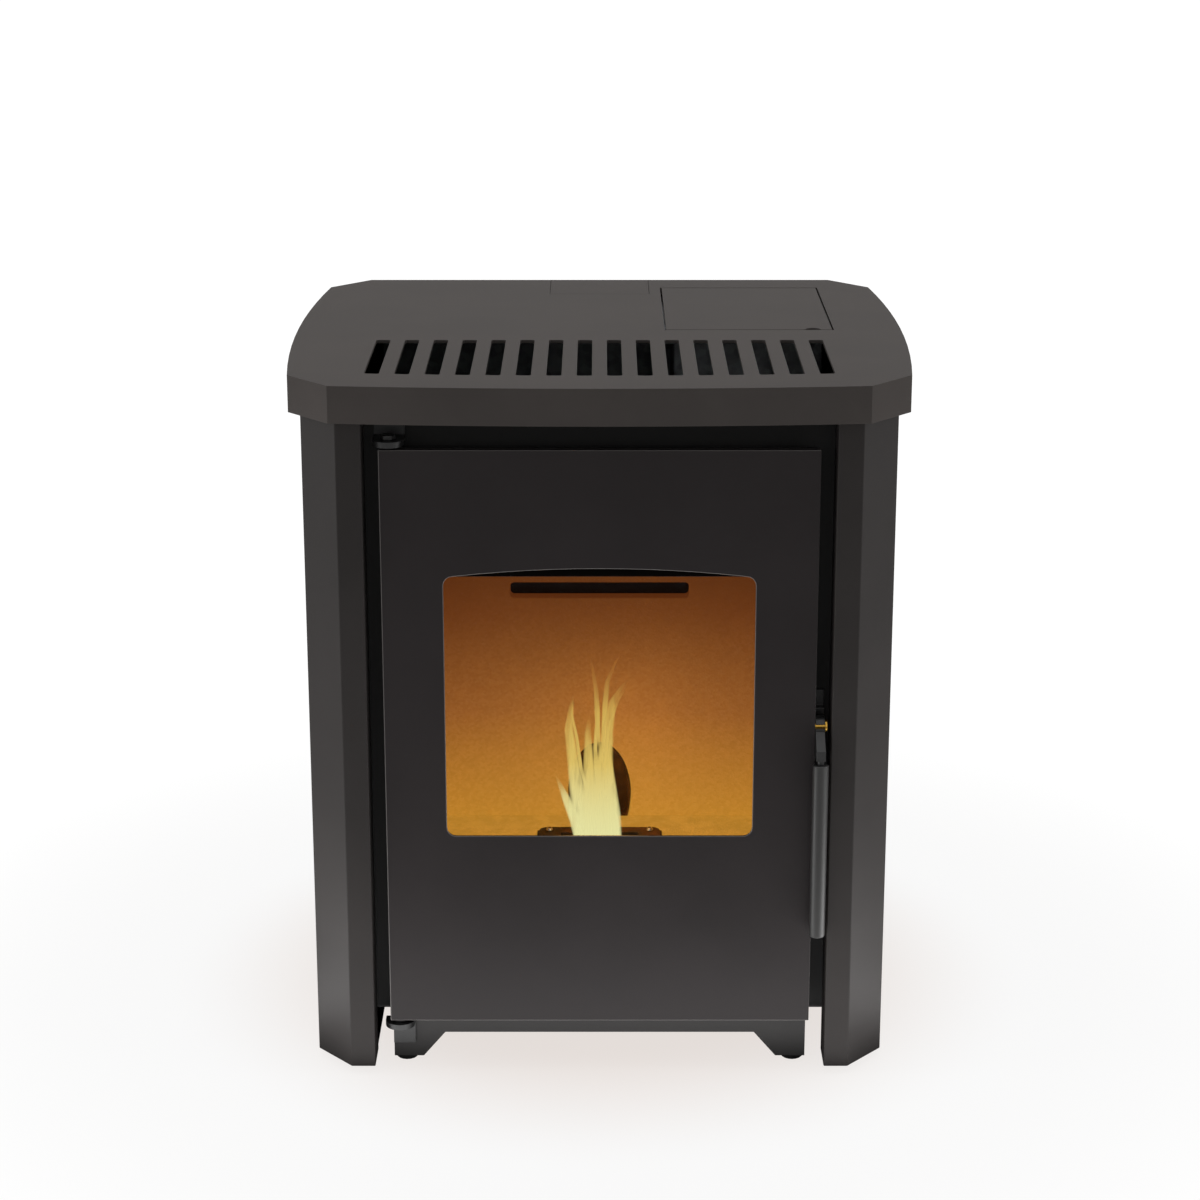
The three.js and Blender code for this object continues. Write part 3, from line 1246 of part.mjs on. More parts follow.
const latchBlock = block([frameX[1] - 14, frameX[1]], [spacerY[0], frameY[1] + 2], around(latchZ, 18));
const paneOpening = rectangle(grown([-windowHalfWidth, windowHalfWidth], 4), [windowBottom - 7, windowTop + windowArch + 2]);
piece(door, 'door_frame', cut(
  join(
    prism('y', rectangle(frameX, frameZ), frameY, [paneOpening]),
    outerRib,
    innerRib,
    ...spacers,
    ...hingeBlocks,
    latchBlock,
  ),
  hingeBore,
  latchBore,
), innerPaint);

const glassX = grown([-windowHalfWidth, windowHalfWidth], glassLap);
const glassZ = [windowBottom - glassLap, windowTop + windowArch + glassLap - 2];
const glassY = [doorFrontY + doorSheet + gap, doorFrontY + doorSheet + gap + glassSheet];
piece(door, 'door_glass', prism('y', roundedRectangle(glassX, glassZ, 6, 2), glassY), ceramicGlass);
piece(door, 'glass_gasket', prism('y', rectangle(glassX, glassZ), [glassY[1] + gap, frameY[0] - gap],
  [rectangle(inside(glassX, glassGasketWidth), inside(glassZ, glassGasketWidth))]), ropeSeal);
piece(door, 'door_gasket', prism('y', rectangle(sealX, sealZ), [frameY[1] + gap, frontPlateY - gap],
  [rectangle(sealInX, sealInZ)]), ropeSeal);

// ---- hinges: a round-nosed lug above and below the door, each with its pin -----------------------
function hingeLug(rootY, span) {
  const nose = cut(
    cylinder('z', hingeLugRadius, span, [hingeX, hingeY], 24),
    block(around(hingeX, 3 * hingeLugRadius), [hingeY, hingeY + 2 * hingeLugRadius], span),
  );
  return join(block(around(hingeX, 2 * hingeLugRadius), [hingeY - 1, rootY], span), nose);
}
const topLugZ = [doorTop + hingeLugSlit, doorTop + hingeLugSlit + hingeLugSheet];
const topPinHole = cylinder('z', hingePinRadius + gap, [topLugZ[0] - 1, topLugZ[1] + 1], [hingeX, hingeY], 16);
piece(casing, 'top_hinge_bracket', cut(join(
  hingeLug(frontPlateY - gap, topLugZ),
  block(around(hingeX, 2 * hingeLugRadius), [frontPlateY - gap - hingeFlangeSheet, frontPlateY - gap],
    [topLugZ[0], topLugZ[1] + hingeFlangeHeight]),
), topPinHole), blackSteel);
piece(casing, 'top_hinge_pin', join(
  cylinder('z', hingeHeadRadius, [topLugZ[1] + gap, topLugZ[1] + gap + hingeHeadHeight], [hingeX, hingeY], 6),
  cylinder('z', hingePinRadius, [doorTop - hingePinReach + 1, topLugZ[1] + 1], [hingeX, hingeY], 16),
), blackSteel);

const lowCollar = 2.7;
const lowLugZ = [doorBottom - lowCollar - 2 * gap - hingeLugSheet, doorBottom - lowCollar - 2 * gap];
const lowPinHole = cylinder('z', hingePinRadius + gap, [lowLugZ[0] - 1, lowLugZ[1] + 1], [hingeX, hingeY], 16);
const lowFlangeX = [-plinthHalfWidth, hingeX + hingeLugRadius];
piece(casing, 'bottom_hinge_bracket', cut(join(
  hingeLug(plinthFrontY - gap, lowLugZ),
  block(lowFlangeX, [plinthFrontY - gap - hingeFlangeSheet, plinthFrontY - gap],
    [lowLugZ[0] - hingeFlangeHeight, lowLugZ[1]]),
), lowPinHole), blackSteel);
piece(casing, 'bottom_hinge_pin', join(
  cylinder('z', hingePinRadius, [lowLugZ[0] - 2, doorBottom + hingePinReach - 1], [hingeX, hingeY], 16),
  cylinder('z', hingeHeadRadius, [lowLugZ[1] + gap, doorBottom - gap], [hingeX, hingeY], 16),
), blackSteel);

// ---- latch: split-hub lever, cross pin, grip and keeper ------------------------------------------
const leverX = [doorHalfWidth + 2 * gap, doorHalfWidth + 2 * gap + leverSheet];
const gripY = doorFrontY - gripStandoff;
const keeperBottom = latchZ + 6;
const noseTipY = latchY + noseReach;
const neckTop = gripTop + 10;
const lever = join(
  prism('x', circle(latchY, latchZ, leverHubRadius, 20), leverX),
  prism('x', [[latchY, latchZ - 6], [noseTipY - 2, latchZ - 3], [noseTipY, latchZ + 1],
    [noseTipY, latchZ + 3], [noseTipY - 1.5, keeperBottom - gap], [latchY, keeperBottom - gap]], leverX),
  prism('x', [[latchY + 2, latchZ - 8], [latchY - 7, latchZ - 2], [gripY - 4.5, neckTop + 3],
    [gripY - 4.5, gripTop + 4], [gripY + 4.5, gripTop + 4]], leverX),
  cylinder('z', neckRadius, [gripTop - neckReach, gripTop + 6], [gripX, gripY], 12),
);
piece(door, 'latch_lever', cut(
  lever,
  cylinder('x', latchPinRadius + gap, grown(leverX, 1), [latchY, latchZ], 16),
  block(grown(leverX, 1), [latchY - leverHubRadius - 3, latchY], around(latchZ + 1.5, leverSplit)),
), blackSteel);

const pinEnd = leverX[1] + gap;
piece(door, 'latch_pin', join(
  cylinder('x', latchPinRadius, [frameX[1] - 13, pinEnd + 1], [latchY, latchZ], 16),
  cylinder('x', latchPinRadius + 1.5, [pinEnd, pinEnd + 2.2], [latchY, latchZ], 16),
), zincYellow);

const gripProfile = [
  [neckRadius + gap, gripTop - neckReach - gap], [neckRadius + gap, gripTop], [gripRadius - 1, gripTop],
  [gripRadius, gripTop - 1.5], [gripRadius, gripTop - gripLength + 1.5], [gripRadius - 1, gripTop - gripLength],
  [0, gripTop - gripLength], [0, gripTop - neckReach - gap],
].map(([r, z]) => new THREE.Vector2(r, z - gripTop));
piece(door, 'grip', solid(new THREE.LatheGeometry([...gripProfile, gripProfile[0]].reverse(), 24)
  .rotateX(Math.PI / 2)), rubber, [gripX, gripY, gripTop]);

const keeperX = grown(leverX, 0.8);
piece(casing, 'latch_keeper', join(
  block(keeperX, [noseTipY - 7, frontPlateY - gap], [keeperBottom, keeperBottom + keeperHeight]),
  block(keeperX, [frontPlateY - gap - hingeFlangeSheet, frontPlateY - gap],
    [keeperBottom, keeperBottom + keeperHeight + 14]),
), blackSteel);

export default stove;
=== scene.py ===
import json
import math

import bmesh
import bpy
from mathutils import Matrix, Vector

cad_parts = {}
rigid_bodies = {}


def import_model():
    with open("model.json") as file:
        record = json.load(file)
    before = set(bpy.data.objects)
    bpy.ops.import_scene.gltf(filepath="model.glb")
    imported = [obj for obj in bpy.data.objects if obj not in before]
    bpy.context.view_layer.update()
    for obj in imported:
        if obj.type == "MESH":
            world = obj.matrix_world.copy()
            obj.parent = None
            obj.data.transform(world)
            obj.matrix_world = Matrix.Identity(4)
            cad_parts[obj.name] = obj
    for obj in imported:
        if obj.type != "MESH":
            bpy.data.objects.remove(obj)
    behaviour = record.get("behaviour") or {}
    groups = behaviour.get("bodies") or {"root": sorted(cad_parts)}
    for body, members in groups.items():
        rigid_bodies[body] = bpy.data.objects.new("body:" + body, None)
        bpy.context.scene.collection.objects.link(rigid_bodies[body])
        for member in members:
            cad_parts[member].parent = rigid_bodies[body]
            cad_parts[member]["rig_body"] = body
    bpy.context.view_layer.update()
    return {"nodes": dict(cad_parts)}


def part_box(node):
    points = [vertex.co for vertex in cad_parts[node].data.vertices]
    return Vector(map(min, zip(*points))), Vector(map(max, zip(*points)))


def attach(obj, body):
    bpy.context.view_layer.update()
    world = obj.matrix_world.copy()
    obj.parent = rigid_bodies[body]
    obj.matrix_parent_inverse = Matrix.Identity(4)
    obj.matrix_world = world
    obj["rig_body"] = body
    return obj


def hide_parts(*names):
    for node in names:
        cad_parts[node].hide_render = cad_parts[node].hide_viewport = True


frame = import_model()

NODES = frame["nodes"]

# ---- base frame and levelling feet ---------------------------------------------------------------
# Folded sheet-steel base in matt black heat-resistant paint, standing on four rubber-padded feet
# that screw through its corner flanges. The folds are rounded, as a press brake leaves them.


class Wire:
    """One output of a finish's node tree. Sums and products written on it add Math nodes."""

    def __init__(self, finish, socket):
        self.finish = finish
        self.socket = socket

    def maths(self, operation, *values):
        return self.finish.node("ShaderNodeMath", {"operation": operation}, dict(enumerate(values)))

    def __add__(self, other):
        return self.maths("ADD", self, other)

    def __sub__(self, other):
        return self.maths("SUBTRACT", self, other)

    def __rsub__(self, other):
        return self.maths("SUBTRACT", other, self)

    def __mul__(self, other):
        return self.maths("MULTIPLY", self, other)

    def __truediv__(self, other):
        return self.maths("DIVIDE", self, other)

    __radd__ = __add__
    __rmul__ = __mul__


class Finish:
    """A procedural material round one Principled shader, patterned on Object coordinates."""

    def __init__(self, name, **fixed):
        self.material = bpy.data.materials.new(name)
        self.material.use_nodes = True
        self.tree = self.material.node_tree
        self.shader = self.tree.nodes["Principled BSDF"]
        self.place = self.node("ShaderNodeTexCoord", output="Object")
        self.set(**fixed)

    def node(self, kind, settings=None, sockets=None, output=0):
        made = self.tree.nodes.new(kind)
        for name, value in (settings or {}).items():
            if name == "stops":
                self.stops(made.color_ramp, value)
            else:
                setattr(made, name, value)
        for name, value in (sockets or {}).items():
            self.join(made.inputs[name], value)
        return Wire(self, made.outputs[output])

    def stops(self, ramp, stops):
        while len(ramp.elements) < len(stops):
            ramp.elements.new(0.5)
        for element, (position, color) in zip(ramp.elements, stops):
            element.position = position
            element.color = (*color, 1)

    def join(self, socket, value):
        if isinstance(value, Wire):
            self.tree.links.new(value.socket, socket)
        else:
            socket.default_value = value

    def set(self, **sockets):
        for name, value in sockets.items():
            if isinstance(value, tuple) and len(value) == 3:
                value = (*value, 1)
            self.join(self.shader.inputs[name.replace("_", " ")], value)

    def stretched(self, scale, turn=(0, 0, 0)):
        return self.node("ShaderNodeMapping", {}, {"Vector": self.place, "Scale": scale, "Rotation": turn})

    def noise(self, scale, detail=2.0, place=None):
        return self.node("ShaderNodeTexNoise", {}, {
            "Vector": place or self.place, "Scale": scale, "Detail": detail})

    def cells(self, scale, output="Distance"):
        return self.node("ShaderNodeTexVoronoi", {}, {"Vector": self.place, "Scale": scale}, output)

    def along(self, axis):
        return self.node("ShaderNodeSeparateXYZ", {}, {0: self.place}, axis)

    def ramp(self, value, stops):
        return self.node("ShaderNodeValToRGB", {"stops": stops}, {0: value})

    def step(self, value, low, high):
        return self.node("ShaderNodeMapRange", {"interpolation_type": "SMOOTHSTEP"}, {
            "Value": value, "From Min": low, "From Max": high})

    def mixed(self, share, first, second):
        return self.node("ShaderNodeMix", {"data_type": "RGBA"}, {
            0: share,
            6: first if isinstance(first, Wire) else (*first, 1),
            7: second if isinstance(second, Wire) else (*second, 1)}, 2)

    def relief(self, height, depth, strength=1.0):
        bump = self.node("ShaderNodeBump", {}, {"Height": height, "Distance": depth, "Strength": strength})
        self.set(Normal=bump)


CLOUDING = 0.08
ORANGE_PEEL = 0.00005


def powder_coat(name, color, roughness, specular):
    """Baked powder coat: fine orange peel and faint clouding."""
    coat = Finish(name, Specular_IOR_Level=specular)
    cloud = coat.noise(9, 3)
    fine = coat.noise(1400, 1)
    dark = tuple(c * (1 - CLOUDING) for c in color)
    light = tuple(c * (1 + CLOUDING) for c in color)
    coat.set(Base_Color=coat.mixed(coat.step(cloud, 0.3, 0.7), dark, light))
    coat.set(Roughness=roughness + (cloud - 0.5) * 0.1 + (fine - 0.5) * 0.08)
    coat.relief(coat.noise(700, 2) + fine * 0.4, ORANGE_PEEL)
    return coat.material


def placed(name, data):
    """A mesh, lamp or camera as an object of the scene, at the origin."""
    made = bpy.data.objects.new(name, data)
    bpy.context.scene.collection.objects.link(made)
    return made


def meshed(shape, name, material):
    """A finished bmesh as an object with one material."""
    mesh = bpy.data.meshes.new(name)
    shape.to_mesh(mesh)
    shape.free()
    mesh.materials.append(material)
    return placed(name, mesh)


def eased(made, width, steps=2, sharp=25):
    """Rounded edges, with the flat faces between them kept flat."""
    made.data.shade_smooth()
    bevel = made.modifiers.new("rounded edges", "BEVEL")
    bevel.width = width
    bevel.segments = steps
    bevel.limit_method = "ANGLE"
    bevel.angle_limit = math.radians(sharp)
    bevel.use_clamp_overlap = True
    flats = made.modifiers.new("flat faces stay flat", "WEIGHTED_NORMAL")
    flats.weight = 100
    flats.keep_sharp = True


def rounded(node, name, material, width, steps=2, sharp=25):
    """A copy of a CAD node with its flat faces whole again and its edges rounded, riding in its place."""
    source = NODES[node]
    shape = bmesh.new()
    shape.from_mesh(source.data)
    bmesh.ops.remove_doubles(shape, verts=shape.verts, dist=2e-6)
    bmesh.ops.dissolve_limit(shape, angle_limit=math.radians(0.4), verts=shape.verts, edges=shape.edges)
    made = meshed(shape, name, material)
    eased(made, width, steps, sharp)
    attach(made, source["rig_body"])
    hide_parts(node)
    return made


def dress(material, slot, *nodes):
    """Gives CAD nodes whose shape already serves their finish."""
    for node in nodes:
        piece = NODES[node]
        piece.data.materials.clear()
        piece.data.materials.append(material)


inner_paint = powder_coat("matt_black_paint", (0.012, 0.0113, 0.011), 0.62, 0.3)
plinth_paint = powder_coat("plinth_paint", (0.027, 0.025, 0.0245), 0.5, 0.3)
rounded("base_frame", "base_frame_folded", plinth_paint, 0.0006)

foot_rubber = Finish("foot_rubber", Base_Color=(0.006, 0.006, 0.006), Specular_IOR_Level=0.3)
foot_rubber.set(Roughness=0.75 + (foot_rubber.noise(300, 3) - 0.5) * 0.25)
foot_rubber.relief(foot_rubber.noise(1800, 1), 0.00005)
for number in range(1, 5):
    rounded(f"levelling_foot_{number}", f"foot_{number}", foot_rubber.material, 0.0004)

# ---- firebox: steel shell, hearth plate and vermiculite boards -----------------------------------
# A welded steel box with a cast hearth plate, lined with pressed vermiculite boards. The fire's light
# is painted on them as an amber glow. The boards show their flakes, and soot darkens them towards
# the smoke slot.
dress(inner_paint, "inner_paint", "firebox_shell")


def painted_firelight(finish):
    """Painted firelight: the fire's light on a warm surface, given as an amber emission that is strongest
    at the hearth.
    """
    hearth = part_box("hearth_plate")[1][2]
    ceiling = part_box("baffle")[0][2]
    height = (finish.along("Z") - hearth) / (ceiling - hearth)
    glow = finish.ramp(height + (finish.noise(5, 2) - 0.5) * 0.08, [
        (0.0, (0.43, 0.215, 0.024)), (0.38, (0.2, 0.077, 0.017)),
        (0.74, (0.1, 0.027, 0.006)), (1.0, (0.055, 0.014, 0.003))])
    finish.set(Emission_Color=glow, Emission_Strength=1.0)


SOOT_BEGINS = 0.24
SOOT_FULL = 0.44


def vermiculite(name):
    """Pressed mica flakes, a little sooted upwards, with the fire's light painted on as an amber emission.
    """
    board = Finish(name, Specular_IOR_Level=0.05, Roughness=0.92)
    flakes = board.cells(420, "Color")
    speck = board.node("ShaderNodeSeparateColor", {}, {0: flakes})
    clouds = board.noise(14, 4)
    soot = board.step(board.along("Z") + (clouds - 0.5) * 0.06, SOOT_BEGINS, SOOT_FULL)
    grain = board.mixed(speck, (0.3, 0.18, 0.085), (0.38, 0.24, 0.12))
    board.set(Base_Color=board.mixed(soot, grain, (0.2, 0.11, 0.05)))
    board.relief(board.cells(420), 0.0004, 0.5)
    # The fire's light is painted on the board as an amber emission.
    painted_firelight(board)
    return board.material


lining = vermiculite("vermiculite_board")
for side in ("left", "right"):
    rounded(f"{side}_lining", f"{side}_board", lining, 0.0012)
rounded("baffle", "baffle_board", lining, 0.0012)


def plate(name, outline, holes, front, back, material):
    """A flat plate standing upright: outline and holes in x and z, from front to back in y."""
    shape = bmesh.new()
    for loop in (outline, *holes):
        corners = [shape.verts.new((x, front, z)) for x, z in loop]
        for first, second in zip(corners, corners[1:] + corners[:1]):
            shape.edges.new((first, second))
    bmesh.ops.triangle_fill(shape, edges=shape.edges, use_beauty=True)
    skin = bmesh.ops.extrude_face_region(shape, geom=shape.faces[:])
    moved = [item for item in skin["geom"] if isinstance(item, bmesh.types.BMVert)]
    bmesh.ops.translate(shape, verts=moved, vec=(0, back - front, 0))
    bmesh.ops.dissolve_limit(shape, angle_limit=0.001, verts=shape.verts, edges=shape.edges)
    bmesh.ops.recalc_face_normals(shape, faces=shape.faces)
    return meshed(shape, name, material)


def ring(x, z, wide, high, start=0, sweep=360, steps=40):
    """Points on an ellipse, or on a stretch of one, in x and z."""
    count = steps if sweep == 360 else steps + 1
    angles = [math.radians(start + sweep * step / steps) for step in range(count)]
    return [(x + wide * math.cos(angle), z + high * math.sin(angle)) for angle in angles]


# The chute's mouth is cut off on the hearth: an upright ellipse less what lies below the board.
MOUTH_Z = 0.187
MOUTH_WIDE = 0.0294
MOUTH_HIGH = 0.052
MOUTH_CLEARANCE = 0.0003


def mouth_arch(inset, foot):
    """The mouth's outline at a distance inside its edge, from its right foot over to its left one."""
    wide, high = MOUTH_WIDE - inset, MOUTH_HIGH - inset
    dip = math.degrees(math.asin((MOUTH_Z - foot) / high))
    return ring(0, MOUTH_Z, wide, high, -dip, 180 + 2 * dip, 36)


board_low, board_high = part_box("back_lining")
SLOT_HALF_WIDTH = 0.083
SLOT_BOTTOM = 0.3815
SLOT_TOP = 0.396
SLOT_CORNER = 0.004
slot_outline = []
for x, z, start in [
    (SLOT_HALF_WIDTH, SLOT_BOTTOM, -90), (SLOT_HALF_WIDTH, SLOT_TOP, 0),
    (-SLOT_HALF_WIDTH, SLOT_TOP, 90), (-SLOT_HALF_WIDTH, SLOT_BOTTOM, 180),
]:
    centre_x = x - math.copysign(SLOT_CORNER, x)
    centre_z = z + (SLOT_CORNER if z == SLOT_BOTTOM else -SLOT_CORNER)
    slot_outline += ring(centre_x, centre_z, SLOT_CORNER, SLOT_CORNER, start, 90, 4)
board_outline = [
    (board_low[0], board_low[2]), *reversed(mouth_arch(-MOUTH_CLEARANCE, board_low[2])),
    (board_high[0], board_low[2]), (board_high[0], board_high[2]), (board_low[0], board_high[2])]
back_board = plate("back_board", board_outline, [slot_outline], board_low[1], board_high[1], lining)
eased(back_board, 0.001)
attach(back_board, NODES["back_lining"]["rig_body"])
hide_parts("back_lining")

cast_iron = Finish("heat_browned_iron", Metallic=0.35, Specular_IOR_Level=0.4)
rust = cast_iron.step(cast_iron.noise(38, 5), 0.42, 0.66)
cast_iron.set(Base_Color=cast_iron.mixed(rust, (0.036, 0.027, 0.021), (0.105, 0.05, 0.024)))
cast_iron.set(Roughness=0.6 + rust * 0.2 + (cast_iron.noise(600, 2) - 0.5) * 0.2)
cast_iron.relief(cast_iron.noise(520, 4), 0.0004)

ash = Finish("ash_dusted_hearth", Specular_IOR_Level=0.05, Roughness=0.95)
dust = ash.step(ash.noise(70, 4), 0.3, 0.7)
ash.set(Base_Color=ash.mixed(dust, (0.2, 0.13, 0.07), (0.34, 0.24, 0.14)))
ash.relief(ash.noise(420, 4), 0.0006)
# The fire's light is painted on the ash as an amber emission, as on the boards.
painted_firelight(ash)
rounded("hearth_plate", "hearth_casting", ash.material, 0.0006)

# ---- burn pot, its seat, the igniter and the ash pan ---------------------------------------------
# The pot and its seat are heat-browned castings. The pot lifts out by hand, with the four screws in
# its flange. The igniter is a stainless cartridge, the ash pan and air pipe are galvanised sheet.
rounded("burn_pot", "burn_pot_casting", cast_iron.material, 0.001)
dress(cast_iron.material, "cast_iron", "burn_pot_seat")


class Tree:
    """A Geometry Nodes tree with named inputs that puts one form on every point of a piece."""

    def __init__(self, name, **inputs):
        self.tree = bpy.data.node_groups.new(name, "GeometryNodeTree")
        self.tree.is_modifier = True
        face = self.tree.interface
        face.new_socket("Geometry", in_out="INPUT", socket_type="NodeSocketGeometry")
        face.new_socket("Geometry", in_out="OUTPUT", socket_type="NodeSocketGeometry")
        self.ids = {}
        for label, kind in inputs.items():
            socket = face.new_socket(
                label.replace("_", " "), in_out="INPUT", socket_type=f"NodeSocket{kind}")
            self.ids[label] = socket.identifier
        self.start = self.tree.nodes.new("NodeGroupInput")
        self.end = self.tree.nodes.new("NodeGroupOutput")

    def input(self, label):
        return self.start.outputs[label.replace("_", " ")]

    def node(self, kind, settings=None, sockets=None, output=0):
        made = self.tree.nodes.new(kind)
        for name, value in (settings or {}).items():
            setattr(made, name, value)
        for name, value in (sockets or {}).items():
            if isinstance(value, bpy.types.NodeSocket):
                self.tree.links.new(value, made.inputs[name])
            else:
                made.inputs[name].default_value = value
        return made.outputs[output]

    def finish(self, geometry):
        whole = self.node("GeometryNodeRealizeInstances", {}, {"Geometry": geometry})
        coated = self.node("GeometryNodeSetMaterial", {}, {
            "Geometry": whole, "Material": self.input("Finish")})
        self.tree.links.new(coated, self.end.inputs[0])

    def grow(self, name, places, body, slot, **values):
        """Runs the tree on the places, as one plain mesh that rides on a body."""
        seed = bpy.data.meshes.new(f"{name}_places")
        seed.from_pydata(places, [], [])
        source = placed(f"{name}_source", seed)
        growth = source.modifiers.new("pattern", "NODES")
        growth.node_group = self.tree
        for label, value in values.items():
            growth[self.ids[label]] = value
        source.update_tag()
        graph = bpy.context.evaluated_depsgraph_get()
        mesh = bpy.data.meshes.new_from_object(source.evaluated_get(graph), depsgraph=graph)
        bpy.data.objects.remove(source)
        mesh.name = name
        made = placed(name, mesh)
        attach(made, body)


def drawn_metal(name, color, roughness):
    """Bare metal with fine drawing marks that run one way."""
    metal = Finish(name, Metallic=0.95)
    marks = metal.noise(1, 3, metal.stretched((40, 40, 2500)))
    cloud = metal.noise(24, 3)
    metal.set(Base_Color=metal.mixed(cloud, tuple(c * 0.8 for c in color), color))
    metal.set(Roughness=roughness + (marks - 0.5) * 0.18 + (cloud - 0.5) * 0.08)
    metal.relief(marks, 0.00003)
    return metal.material


def galvanised_sheet(name, color=(0.36, 0.38, 0.39)):
    """Zinc spangle: crystals a few millimetres across, each turned a little to the light."""
    zinc = Finish(name, Metallic=0.85)
    crystals = zinc.cells(150, "Color")
    tone = zinc.node("ShaderNodeSeparateColor", {}, {0: crystals})
    cloud = zinc.noise(18, 3)
    zinc.set(Base_Color=zinc.mixed(tone, tuple(c * 0.72 for c in color), color))
    zinc.set(Roughness=0.36 + tone * 0.16 + (cloud - 0.5) * 0.12)
    zinc.relief(tone + zinc.noise(900, 2) * 0.3, 0.00002)
    return zinc.material


stainless = drawn_metal("stainless", (0.5, 0.49, 0.47), 0.3)
galvanised = galvanised_sheet("galvanised")
dress(stainless, "stainless", "igniter")
dress(galvanised, "galvanised", "ash_pan", "combustion_air_pipe")

# Button-head screws with a hexagon recess, each turned at random about its own axis.
CROWN_SHARE = 0.72
RECESS_SHARE = 0.45
RECESS_LENGTH = 0.01
RECESS_CENTRE = 0.0058
SPIN_SEED = 4
FULL_TURN = 6.283
screws = Tree("button_head_screws", Head_radius="Float", Head_height="Float", Turn="Rotation",
              Finish="Material")


def share_of_head(share):
    return screws.node("ShaderNodeMath", {"operation": "MULTIPLY"}, {
        0: screws.input("Head_radius"), 1: share})


crown = screws.node("GeometryNodeMeshCone", {}, {
    "Vertices": 20, "Radius Top": share_of_head(CROWN_SHARE),
    "Radius Bottom": screws.input("Head_radius"), "Depth": screws.input("Head_height")})
recess = screws.node("GeometryNodeMeshCylinder", {}, {
    "Vertices": 6, "Radius": share_of_head(RECESS_SHARE), "Depth": RECESS_LENGTH})
sunk = screws.node("GeometryNodeTransform", {}, {
    "Geometry": recess, "Translation": (0, 0, RECESS_CENTRE)})
head = screws.node("GeometryNodeMeshBoolean", {"operation": "DIFFERENCE"}, {
    "Mesh 1": crown, "Mesh 2": sunk})
spin = screws.node("FunctionNodeRandomValue", {"data_type": "FLOAT"}, {
    2: 0.0, 3: FULL_TURN, "Seed": SPIN_SEED}, 1)
axis_turn = screws.node("FunctionNodeAxisAngleToRotation", {}, {"Angle": spin})
whole_turn = screws.node("FunctionNodeRotateRotation", {"rotation_space": "LOCAL"}, {
    0: screws.input("Turn"), 1: axis_turn})
screws.finish(screws.node("GeometryNodeInstanceOnPoints", {}, {
    "Points": screws.start.outputs[0], "Instance": head, "Rotation": whole_turn}))

SCREW_RADIUS = 0.0034
SCREW_HEIGHT = 0.002
SCREW_INSET = 0.0095
flange_low, flange_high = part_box("burn_pot")
corners = [(x, y, flange_high[2] + SCREW_HEIGHT / 2)
           for x in (flange_low[0] + SCREW_INSET, flange_high[0] - SCREW_INSET)
           for y in (flange_low[1] + SCREW_INSET, flange_high[1] - SCREW_INSET)]
bright_steel = Finish("bright_screw_steel", Base_Color=(0.42, 0.36, 0.27), Metallic=0.9, Roughness=0.3)
screws.grow("pot_flange_screws", corners, NODES["burn_pot"]["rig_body"], "stainless",
            Head_radius=SCREW_RADIUS, Head_height=SCREW_HEIGHT, Turn=(0, 0, 0),
            Finish=bright_steel.material)


# ---- the fire ------------------------------------------------------------------------------------
# A pale body of flame stands in the pot, with drawn-out tongues leaning over it. Each tongue is a
# thin lens that glows most in its middle and fades to its edges and tip.


def loft(name, rings, material):
    """One closed body through rings of equally many points, with its first and last ring filled."""
    count = len(rings[0])
    last = count * (len(rings) - 1)
    faces = []
    for first in range(0, last, count):
        for step in range(count):
            after = (step + 1) % count
            faces.append((first + step, first + after, first + count + after, first + count + step))
    faces += [tuple(range(count)), tuple(range(last, last + count))]
    skin = bpy.data.meshes.new(f"{name}_skin")
    skin.from_pydata([point for points in rings for point in points], [], faces)
    shape = bmesh.new()
    shape.from_mesh(skin)
    bpy.data.meshes.remove(skin)
    bmesh.ops.recalc_face_normals(shape, faces=shape.faces)
    return meshed(shape, name, material)


flame = Finish("flame", Base_Color=(0, 0, 0), Specular_IOR_Level=0.0, Roughness=1.0,
               Emission_Strength=1.0)
across_along = flame.node("ShaderNodeUVMap", {"uv_map": "across_along"})
across = flame.node("ShaderNodeSeparateXYZ", {}, {0: across_along}, 0) * 2 - 1
along = flame.node("ShaderNodeSeparateXYZ", {}, {0: across_along}, 1)
PALEST_BELOW = 0.17
DARKEST_ABOVE = 0.352
heat = flame.step(flame.along("Z"), PALEST_BELOW, DARKEST_ABOVE)
flame.set(Emission_Color=flame.ramp(heat, [
    (0.0, (1.0, 0.97, 0.46)), (0.4, (0.9, 0.66, 0.17)),
    (0.8, (0.78, 0.5, 0.11)), (1.0, (0.42, 0.15, 0.03))]))
licks = flame.step(flame.noise(1, 3, flame.stretched((260, 260, 34))), 0.34, 0.62)
edge = flame.step(1 - across * across, 0.0, 0.85)
root = flame.step(along, 0.0, 0.12)
tip = flame.step(1 - along, 0.0, 0.55)
flame.set(Alpha=edge * root * tip * (licks * 0.5 + 0.5))

